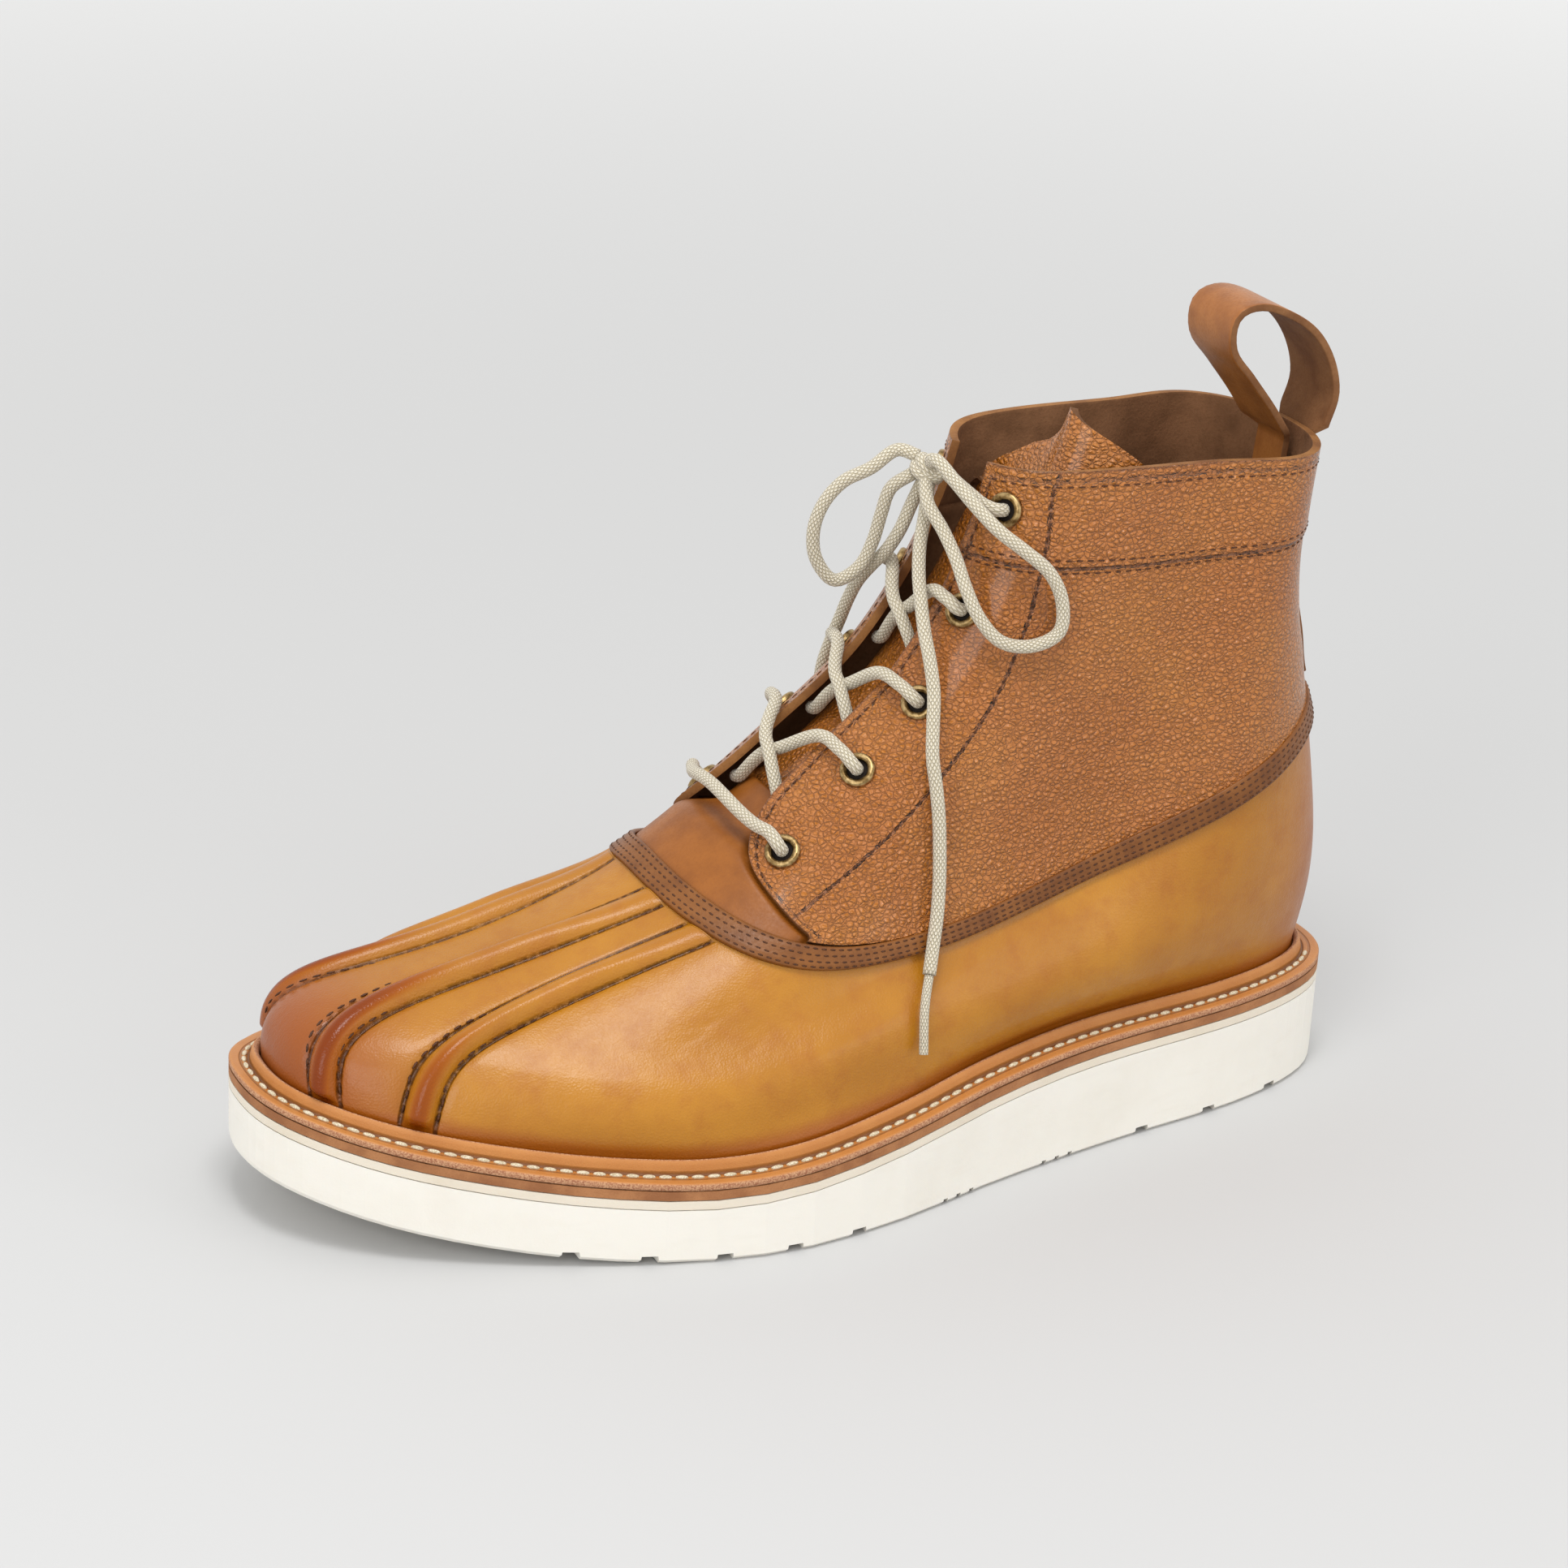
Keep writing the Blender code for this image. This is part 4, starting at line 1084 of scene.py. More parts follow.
@dataclass(frozen=True)
class Rubber:
    """Foam or solid rubber: chalky, with tiny pits and a little dust in them."""

    name: str
    base: str
    dust: str
    pit: float
    depth: float

    def build(self) -> Material:
        """Makes the material.

        Returns:
            The material.
        """
        g = Graph(self.name)
        clouds = g.noise(26.0, 4.0, rough=0.6)
        pits = g.noise(self.pit, 3.0, rough=0.65)
        streak = g.noise(7.0, 4.0, g.place((0.35, 0.35, 1.6)), 0.6)
        colour = g.mix(g.spread(clouds, 0.4, 0.75, 0.0, 0.45), linear(self.base), linear(self.dust))
        colour = g.mix(g.spread(streak, 0.5, 0.8, 0.0, 0.35), colour, linear(self.dust))
        normal = g.bump(pits, self.depth)
        normal = g.bump(streak, self.depth * 1.5, normal)
        rough = g.spread(pits, 0.3, 0.7, 0.5, 0.66)
        glow = {"Subsurface_Weight": 0.08, "Subsurface_Radius": (0.004, 0.003, 0.002)}
        return g.finish(colour, rough, normal, Specular_IOR_Level=0.35, **glow)


@dataclass(frozen=True)
class Braid:
    """Round cotton braid: strands cross in diamonds, with dull fuzz and painted shade between the strands."""

    name: str = "ecru braided cotton"
    base: str = "DBD2BE"
    # Colour of the painted shade between the strands.
    low: str = "B3A688"
    fuzz: str = "E6DECB"
    strands: int = 5
    pitch_mm: float = 3.4

    def build(self) -> Material:
        """Makes the material.

        Returns:
            The material.
        """
        g = Graph(self.name)
        turn = g.math("MULTIPLY", g.reading("around"), 2 * math.pi * self.strands)
        along = g.math("MULTIPLY", g.reading("along_mm"), 2 * math.pi / self.pitch_mm)
        first = g.math("SINE", g.math("ADD", turn, along))
        second = g.math("SINE", g.math("SUBTRACT", turn, along))
        plait = g.math("MULTIPLY", first, second)
        hill = g.spread(g.math("ABSOLUTE", plait), 0.0, 0.65, 0.0, 1.0)
        fuzz = g.noise(0.35, 3.0, rough=0.7)
        # Painted shade: darker where the strands dip between crossings.
        colour = g.mix(hill, linear(self.low), linear(self.base))
        colour = g.mix(g.spread(fuzz, 0.4, 0.7, 0.0, 0.3), colour, linear(self.fuzz))
        normal = g.bump(hill, 0.28)
        normal = g.bump(fuzz, 0.08, normal)
        return g.finish(colour, 0.85, normal, Sheen_Weight=0.35, Sheen_Roughness=0.5, Specular_IOR_Level=0.25)


@dataclass(frozen=True)
class Brass:
    """Antique brass: rubbed bright on the rim, brown in the hollows."""

    name: str = "antique brass"
    hollow: str = "80663F"
    bright: str = "BBA071"

    def build(self) -> Material:
        """Makes the material.

        Returns:
            The material.
        """
        g = Graph(self.name)
        wear = g.noise(1.4, 4.0, rough=0.6)
        colour = g.mix(g.spread(wear, 0.35, 0.65, 0.0, 1.0), linear(self.hollow), linear(self.bright))
        normal = g.bump(g.noise(0.6, 3.0), 0.03)
        return g.finish(colour, g.spread(wear, 0.3, 0.7, 0.28, 0.45), normal, Metallic=1.0)


@dataclass(frozen=True)
class Thread:
    """Waxed thread, a little glossy, with a twist."""

    name: str
    base: str
    dark: str

    def build(self) -> Material:
        """Makes the material.

        Returns:
            The material.
        """
        g = Graph(self.name)
        twist = g.noise(0.4, 2.0)
        colour = g.mix(g.spread(twist, 0.35, 0.65, 0.0, 1.0), linear(self.dark), linear(self.base))
        return g.finish(colour, 0.6, g.bump(twist, 0.08), Specular_IOR_Level=0.35)


class Seam(Enum):
    """Stitch kinds: length, width, thickness and pitch in metres."""

    WELT = (0.0034, 0.0013, 0.0011, 0.0041)
    FINE = (0.0021, 0.0006, 0.0005, 0.0029)
    BAND = (0.0017, 0.0006, 0.0005, 0.0023)
    VAMP = (0.0026, 0.0008, 0.0006, 0.0036)


def place_grid(name: str, points: np.ndarray, readings: dict, closed: bool, outward: Numbers) -> Object:
    """Lays a grid of faces over an array of points.

    Args:
        name: the piece's name.
        points: rows, columns and x, y, z.
        readings: attribute names to arrays with a value for each point.
        closed: whether the first and last column are the same line.
        outward: which way the middle point's face looks.
    Returns:
        The piece.
    """
    rows, columns = points.shape[:2]
    bm = bmesh.new()
    bmesh.ops.create_grid(bm, x_segments=columns - 1, y_segments=rows - 1, size=0.5)
    layers = {key: bm.verts.layers.float.new(key) for key in readings}
    flat = points.tolist()
    values = {key: array.tolist() for key, array in readings.items()}
    for vert in bm.verts:
        column = round((vert.co.x + 0.5) * (columns - 1))
        row = round((vert.co.y + 0.5) * (rows - 1))
        vert.co = flat[row][column]
        for key, layer in layers.items():
            vert[layer] = values[key][row][column]
    if closed:
        bmesh.ops.remove_doubles(bm, verts=bm.verts, dist=1e-6)
    bm.normal_update()
    middle = Vector(points[rows // 2][columns // 4])
    face = min(bm.faces, key=lambda f: (f.calc_center_median() - middle).length_squared)
    if face.normal.dot(Vector(outward)) < 0:
        bmesh.ops.reverse_faces(bm, faces=bm.faces)
    return finish_mesh(name, bm)


def finish_mesh(name: str, bm: bmesh.types.BMesh) -> Object:
    """Turns a bmesh into a smooth-shaded piece.

    Args:
        name: the piece's name.
        bm: its mesh, freed here.
    Returns:
        The piece.
    """
    mesh = bpy.data.meshes.new(name)
    bm.to_mesh(mesh)
    bm.free()
    mesh.shade_smooth()
    piece = bpy.data.objects.new(name, mesh)
    bpy.context.scene.collection.objects.link(piece)
    return piece


def thicken(piece: Object, thickness: float, bevel: float, offset: float = -1.0) -> None:
    """Gives a sheet its thickness and soft edges.

    Args:
        piece: the sheet.
        thickness: in metres.
        bevel: width of the soft edge.
        offset: which side it grows to.
    """
    wall = piece.modifiers.new("thickness", "SOLIDIFY")
    wall.thickness = thickness
    wall.offset = offset
    wall.use_even_offset = False
    wall.material_offset = 1
    wall.material_offset_rim = 2
    if bevel:
        soft = piece.modifiers.new("soft edge", "BEVEL")
        soft.width = bevel
        soft.segments = 2
        soft.limit_method = "ANGLE"
        soft.angle_limit = math.radians(60)
        soft.material = -1


def tube(name: str, points: np.ndarray, radius: float, sides: int = 14) -> Object:
    """A round tube along a line, with closed flat ends.

    Args:
        name: the piece's name.
        points: the line.
        radius: in metres.
        sides: faces round it.
    Returns:
        The piece.
    """
    tangent = np.gradient(points, axis=0)
    tangent /= np.linalg.norm(tangent, axis=1, keepdims=True)
    steps = line_steps(points)
    side = np.cross(tangent[0], (0.3, 0.5, 0.8))
    turns = np.linspace(0, 2 * math.pi, sides + 1)
    rings = []
    for point, direction in zip(points, tangent):
        side = side - direction * side.dot(direction)
        side /= np.linalg.norm(side)
        other = np.cross(direction, side)
        rings.append(point + radius * (np.outer(np.cos(turns), side) + np.outer(np.sin(turns), other)))
    first, last = (
        [np.repeat(centre[None, :], sides + 1, axis=0), centre + (ring - centre) * CAP_SHARE]
        for ring, centre in ((rings[0], points[0]), (rings[-1], points[-1]))
    )
    rings = [*first, *rings, *last[::-1]]
    along = np.concatenate([[0, 0], steps, [steps[-1]] * 2]) * 1000
    readings = {
        "around": np.repeat((turns / (2 * math.pi))[None, :], len(rings), axis=0),
        "along_mm": np.repeat(along[:, None], sides + 1, axis=1),
    }
    grid = np.array(rings)
    middle = len(rings) // 2
    return place_grid(name, grid, readings, False, grid[middle][sides // 4] - points[middle - 2])


@dataclass
class Studio:
    """Camera, floor and soft light of the photograph."""

    place: tuple = (-0.43462, -0.86796, 0.48688)
    back: tuple = (-0.4086, -0.8323, 0.3746)
    roll: float = 3.06
    lens: float = 92.66
    floor_size: float = 8.0
    # Floor colours: the darker one is painted shade near the boot, which evens out the lamps' brighter pool
    # there; far off the floor takes the lighter one.
    paper: tuple = ("C5C5C5", "FBFBFB")
    painted_shade_fade_mm: tuple = (150.0, 2600.0)
    sky: str = "F5F5F4"
    sky_strength: float = 1.05
    aim: tuple = (0, 0, 0.08)

    def camera(self, shift: float) -> None:
        """Sets the camera.

        Args:
            shift: how far the boot's own middle line lies from the frame's.
        """
        data = bpy.data.cameras.new("camera")
        data.sensor_width = 36.0
        data.lens = self.lens
        eye = bpy.data.objects.new("camera", data)
        eye.location = (self.place[0], self.place[1] + shift, self.place[2])
        turn = Vector(self.back).to_track_quat("Z", "Y")
        eye.rotation_mode = "QUATERNION"
        eye.rotation_quaternion = turn @ Quaternion((0, 0, 1), math.radians(self.roll))
        bpy.context.scene.collection.objects.link(eye)
        bpy.context.scene.camera = eye

    def area(self, name: str, place: tuple, size: float, power: float) -> None:
        """Adds a soft square light aimed at the boot.

        Args:
            name: the light's name.
            place: where it hangs.
            size: side length.
            power: in watts.
        """
        data = bpy.data.lights.new(name, "AREA")
        data.energy = power
        data.size = size
        lamp = bpy.data.objects.new(name, data)
        lamp.location = place
        lamp.rotation_mode = "QUATERNION"
        lamp.rotation_quaternion = (Vector(place) - Vector(self.aim)).to_track_quat("Z", "Y")
        bpy.context.scene.collection.objects.link(lamp)

    def build(self, shift: float) -> None:
        """Sets up the studio.

        Args:
            shift: how far the boot's own middle line lies from the frame's.
        """
        self.camera(shift)
        bm = bmesh.new()
        bmesh.ops.create_grid(bm, x_segments=2, y_segments=2, size=self.floor_size / 2)
        floor = finish_mesh("floor", bm)
        g = Graph("studio paper with painted shade near the boot")
        # Painted shade: the floor is darker near the boot, where the lamps light it most.
        apart = g.add("ShaderNodeVectorMath", {0: g.place()}, operation="LENGTH").outputs[1]
        far = g.spread(apart, *self.painted_shade_fade_mm, 0.0, 1.0)
        floor_tone_with_painted_shade = g.mix(far, linear(self.paper[0]), linear(self.paper[1]))
        floor.data.materials.append(g.finish(floor_tone_with_painted_shade, 0.9, None, Specular_IOR_Level=0.1))
        world = bpy.data.worlds.new("studio")
        world.use_nodes = True
        sky = world.node_tree.nodes["Background"]
        sky.inputs["Color"].default_value = linear(self.sky)
        sky.inputs["Strength"].default_value = self.sky_strength
        bpy.context.scene.world = world
        self.area("overhead softbox", (-0.18, -0.36, 1.35), 0.42, 7.0)
        self.area("left softbox", (-1.05, -0.75, 0.75), 0.6, 4.0)
        self.area("right fill", (0.9, -1.1, 0.7), 0.6, 1.6)
        bpy.context.scene.view_settings.view_transform = "Standard"


@dataclass
class Boot:
    """The boot's own frame and shared helpers."""

    shift: float = 0.0

    def measure(self) -> None:
        """Finds how far the frame's middle lies from the last's own middle line."""
        angles = np.linspace(0, math.pi, 200)
        lateral = float(np.abs(sole_point(angles, 0.0)[1]).max())
        medial = float(np.abs(sole_point(-angles, 0.0)[1]).max())
        self.shift = (lateral - medial) / 2

    def world(self, points: np.ndarray) -> np.ndarray:
        """Moves points from the last's frame into the row's.

        Args:
            points: in the last's frame.
        Returns:
            The points in the row's frame.
        """
        return np.asarray(points) + np.array([0.0, self.shift, 0.0])


def ride(piece: Object, materials: list, nodes: tuple = ()) -> None:
    """Gives a finished piece its materials and body, and hides the CAD nodes it stands for.

    Args:
        piece: the piece.
        materials: its materials.
        nodes: CAD nodes it stands for.
    """
    for material in materials:
        piece.data.materials.append(material)
    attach(piece, "root")
    if nodes:
        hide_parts(*nodes)


def row_size(angle: np.ndarray, row: np.ndarray) -> np.ndarray:
    """Metres of surface for each row number.

    Args:
        angle: angle from the heel.
        row: row number.
    Returns:
        Metres a row.
    """
    step = last_surface(angle, row + ROW_STEP) - last_surface(angle, np.maximum(row - ROW_STEP, 0))
    return np.linalg.norm(step, axis=-1) / (2 * ROW_STEP)


def grid_columns(row: float, spaces: tuple) -> np.ndarray:
    """Angles of the shell's columns, which follow the vamp seams.

    Args:
        row: row number.
        spaces: columns in each lane from the heel to the front.
    Returns:
        Angles from heel to front.
    """
    seam = 0.98 - 0.22 * float(smoothstep(row, 1.0, 8.0))
    marks = [math.pi, seam]
    for ridge in (1, 0):
        middle = float(ridge_angle(ridge, row))
        half = RIDGE_WIDTH * 0.66 / float(lateral_turn(np.array(math.pi - middle), np.array(row)))
        marks += [middle + half, middle - half]
    marks.append(0.0)
    spots = [0.0]
    for i, count in enumerate(spaces):
        spots += list(np.linspace(i, i + 1, count + 1)[1:])
    fronts = np.interp(spots, np.arange(len(marks)), marks)
    return math.pi - fronts


@dataclass
class Shell:
    """Lower shell of the upper: smooth leather with four raised vamp seams."""

    boot: Boot
    rows: int = 130
    spaces: tuple = (84, 14, 18, 8, 18, 8)
    top_row: float = 8.16
    passes: int = 200
    groove: float = 0.0007
    fold: float = 0.0034
    crease_lean: float = 0.08
    no_ridge: float = 0.05
    lap: float = 0.0003

    def relax(self, points: np.ndarray, row: np.ndarray) -> np.ndarray:
        """Evens out the curve from the welt up to the band.

        Args:
            points: rows of points.
            row: their row numbers.
        Returns:
            The points, evened.
        """
        hold = smoothstep(row, 1.1, 2.2) * (1 - smoothstep(row, 6.9, 7.9))
        for _ in range(self.passes):
            middle = (points[:-2] + points[2:]) / 2
            points[1:-1] += (middle - points[1:-1]) * hold[1:-1, :, None]
        return points

    def relief(self, distance: np.ndarray, row: np.ndarray) -> np.ndarray:
        """Height of a piped seam.

        Args:
            distance: from its middle, in metres.
            row: row number.
        Returns:
            Height in metres.
        """
        half = RIDGE_WIDTH / 2
        share = np.clip(np.abs(distance) / half, 0, 1)
        hump = self.fold * (1 - share**2.1) ** 0.85
        trough = -self.groove * np.exp(-(((np.abs(distance) - half * 1.12) / 0.0006) ** 2))
        fade = smoothstep(row, 1.0, 1.5) * (1 - 0.6 * smoothstep(row, 6.5, BAND_ROW))
        return (hump + trough) * fade

    def creases(self, angle: np.ndarray, row: np.ndarray) -> np.ndarray:
        """Soft troughs and ridges where the ball of the foot bends, placed one by one.

        Args:
            angle: angle from the heel.
            row: row number.
        Returns:
            Height in metres.
        """
        height = np.zeros_like(angle)
        front = math.pi - np.abs(angle)
        for spot, middle, wide, tall, deep in VAMP_CREASES:
            lean = -(row - middle) * self.crease_lean
            bell = np.exp(-(((front - spot - lean) / wide) ** 2) - ((row - middle) / tall) ** 2)
            height = height + deep * bell
        return height

    def build(self) -> None:
        """Makes the piece."""
        rows = np.linspace(0.0, self.top_row, self.rows)
        angles, numbers = [], []
        for row in rows:
            side = grid_columns(row, self.spaces)
            angles.append(np.concatenate([-side[::-1], side[1:]]))
            numbers.append(np.full(angles[-1].shape, row))
        angle, row = np.array(angles), np.array(numbers)
        front = math.pi - np.abs(angle)
        turn = lateral_turn(angle, row)
        ridge = np.full(angle.shape, self.no_ridge)
        for number in (0, 1):
            away = (front - ridge_angle(number, np.clip(row, 1.0, 8.0))) * turn
            ridge = np.where(np.abs(away) < np.abs(ridge), away, ridge)
        ridge = np.where(row > BAND_ROW, self.no_ridge, ridge)
        base = self.relax(last_surface(angle, row), row)
        normal = last_normal(angle, row)
        lift = self.relief(ridge, row) + self.creases(angle, row)
        lift = lift + (SHELL_STEP - self.lap) * smoothstep(row, BAND_ROW, BAND_ROW + 0.08)
        points = base + normal * lift[..., None]
        x = base[..., 0]
        readings = {
            "ridge_mm": np.abs(ridge) * 1000,
            "foot_mm": np.clip((base[..., 2] - welt_top(x)) * 1000 - 4.0, 0, 60),
            "end_mm": np.minimum(x + LENGTH / 2, LENGTH / 2 - x + 0.01) * 1000,
        }
        look = normal[len(rows) // 2][angle.shape[1] // 4]
        piece = place_grid("upper_shell", self.boot.world(points), readings, True, look)
        thicken(piece, WALL, 0.0)
        lining = PlainLeather("lining flesh", "8A6242", "6B472C", 0.85, 0.12, 0.6).build()
        ride(piece, [SmoothLeather().build(), lining, lining], ("upper",))


@dataclass
class Shaft:
    """Grained quarters and collar above the band, open down the front."""

    boot: Boot
    rows: int = 150
    columns: int = 280

    def stay_angle(self, row: np.ndarray) -> np.ndarray:
        """Angle from the front of the seam behind the eyelets.

        Args:
            row: row number.
        Returns:
            Angle from the front.
        """
        rows, fronts = zip(*EYESTAY_SEAM)
        return blend(rows, fronts, row)

    def build(self) -> None:
        """Makes the piece."""
        rows = np.linspace(THROAT_ROW - 0.06, LAST_ROW, self.rows)
        even = np.linspace(-1, 1, self.columns)
        crowd = np.sign(even) * (1 - (1 - np.abs(even)) ** 1.25)
        edge = math.pi - throat_angle(np.maximum(rows, THROAT_ROW))
        angle = edge[:, None] * crowd[None, :]
        row = np.repeat(rows[:, None], self.columns, axis=1)
        front = math.pi - np.abs(angle)
        turn = lateral_turn(angle, row)
        along = row_size(angle, row)
        base = last_surface(angle, row)
        normal = last_normal(angle, row)
        lift = SHELL_STEP + COLLAR_STEP * smoothstep(row, COLLAR_SEAM_ROW - 0.03, COLLAR_SEAM_ROW + 0.03)
        points = base + normal * np.asarray(lift)[..., None]
        to_facing = (front - throat_angle(np.maximum(row, THROAT_ROW))) * turn
        edge_mm = np.minimum(to_facing, (LAST_ROW - row) * along)
        readings = {
            "edge_mm": np.clip(edge_mm * 1000, 0, 60),
            "seam_mm": np.clip((row - COLLAR_SEAM_ROW) * along * 1000, -60, 60),
            "stay_mm": np.clip((front - self.stay_angle(row)) * turn * 1000, -60, 60),
        }
        look = normal[self.rows // 2][self.columns // 4]
        piece = place_grid("upper_shaft", self.boot.world(points), readings, False, look)
        thicken(piece, WALL, 0.00045)
        lining = PlainLeather("collar lining suede", "8A6040", "6C482C", 0.9, 0.16, 0.8).build()
        rim = PlainLeather("cut leather edge", "9C6B3A", "744823", 0.75, 0.1, 0.5).build()
        ride(piece, [GrainLeather().build(), lining, rim], ("upper",))


@dataclass
class Band:
    """Darker strip that covers the join of shell and shaft, with four rows of stitches."""

    boot: Boot
    height: float = 0.0078
    lift: float = 0.0017
    thick: float = 0.0012
    columns: int = 420
    stitch_rows: tuple = (0.14, 0.36, 0.62, 0.86)

    def spot(self, angle: np.ndarray, share: object, lift: object) -> tuple:
        """Point on the band.

        Args:
            angle: angle from the heel.
            share: share of its height.
            lift: height over the last.
        Returns:
            Points and normals.
        """
        tall = self.height / row_size(angle, np.full_like(angle, BAND_ROW + 0.15))
        row = BAND_ROW - 0.01 + np.asarray(share) * tall
        normal = last_normal(angle, row)
        return last_surface(angle, row) + normal * np.asarray(lift)[..., None], normal

    def build(self) -> None:
        """Makes the piece."""
        angle = np.linspace(-math.pi, math.pi, self.columns)
        rows, shares = [], []
        for share, rise in BAND_PROFILE:
            points, _ = self.spot(angle, share, np.full_like(angle, self.lift * rise))
            rows.append(points)
            shares.append(np.full(angle.shape, share))
        _, normal = self.spot(angle, 0.5, np.zeros_like(angle))
        points, look = self.boot.world(np.array(rows)), normal[self.columns // 4]
        piece = place_grid("upper_band", points, {"share": np.array(shares)}, True, look)
        thicken(piece, self.thick, 0.0)
        brown = PlainLeather("dark brown band leather", "84501F", "683A12", 0.42, 0.08, 0.7).build()
        ride(piece, [brown, brown, brown])


@dataclass
class Welt:
    """Storm welt: stitched ledge and raised bead against the upper."""

    boot: Boot
    around: int = 420

    def build(self) -> None:
        """Makes the piece."""
        base, top = MIDSOLE + GAP, MIDSOLE + WELT
        inner = LEDGE - GAP
        bead = inner - BEAD_WIDTH
        profile = (
            (0.0002, base, 0.0),
            (0.0, base + 0.0003, 0.02),
            (0.0, top - 0.0005, 0.10),
            (0.0003, top - 0.0001, 0.13),
            (0.0009, top, 0.16),
            (0.0030, top, 0.30),
            (bead - 0.0009, top, 0.55),
            (bead - 0.0003, top - 0.0002, 0.60),
            (bead, top + BEAD_HEIGHT * 0.25, 0.65),
            (bead + 0.0003, top + BEAD_HEIGHT * 0.62, 0.72),
            (bead + 0.0007, top + BEAD_HEIGHT * 0.92, 0.80),
            (bead + 0.0012, top + BEAD_HEIGHT, 0.86),
            (inner - 0.0003, top + BEAD_HEIGHT * 0.86, 0.94),
            (inner, top + BEAD_HEIGHT * 0.5, 1.0),
            (inner, base, 1.0),
        )
        angle = np.linspace(-math.pi, math.pi, self.around)
        rows, across = [], []
        for inset, height, share in profile:
            x, y = sole_point(angle, inset)
            rows.append(np.stack([x, y, stack_height(x) + height], axis=-1))
            across.append(np.full(angle.shape, share))
        points = self.boot.world(np.array(rows))
        piece = place_grid("welt_leather", points, {"across": np.array(across)}, True, (0, 0, 1))
        ride(piece, [WeltLeather().build()], ("welt",))


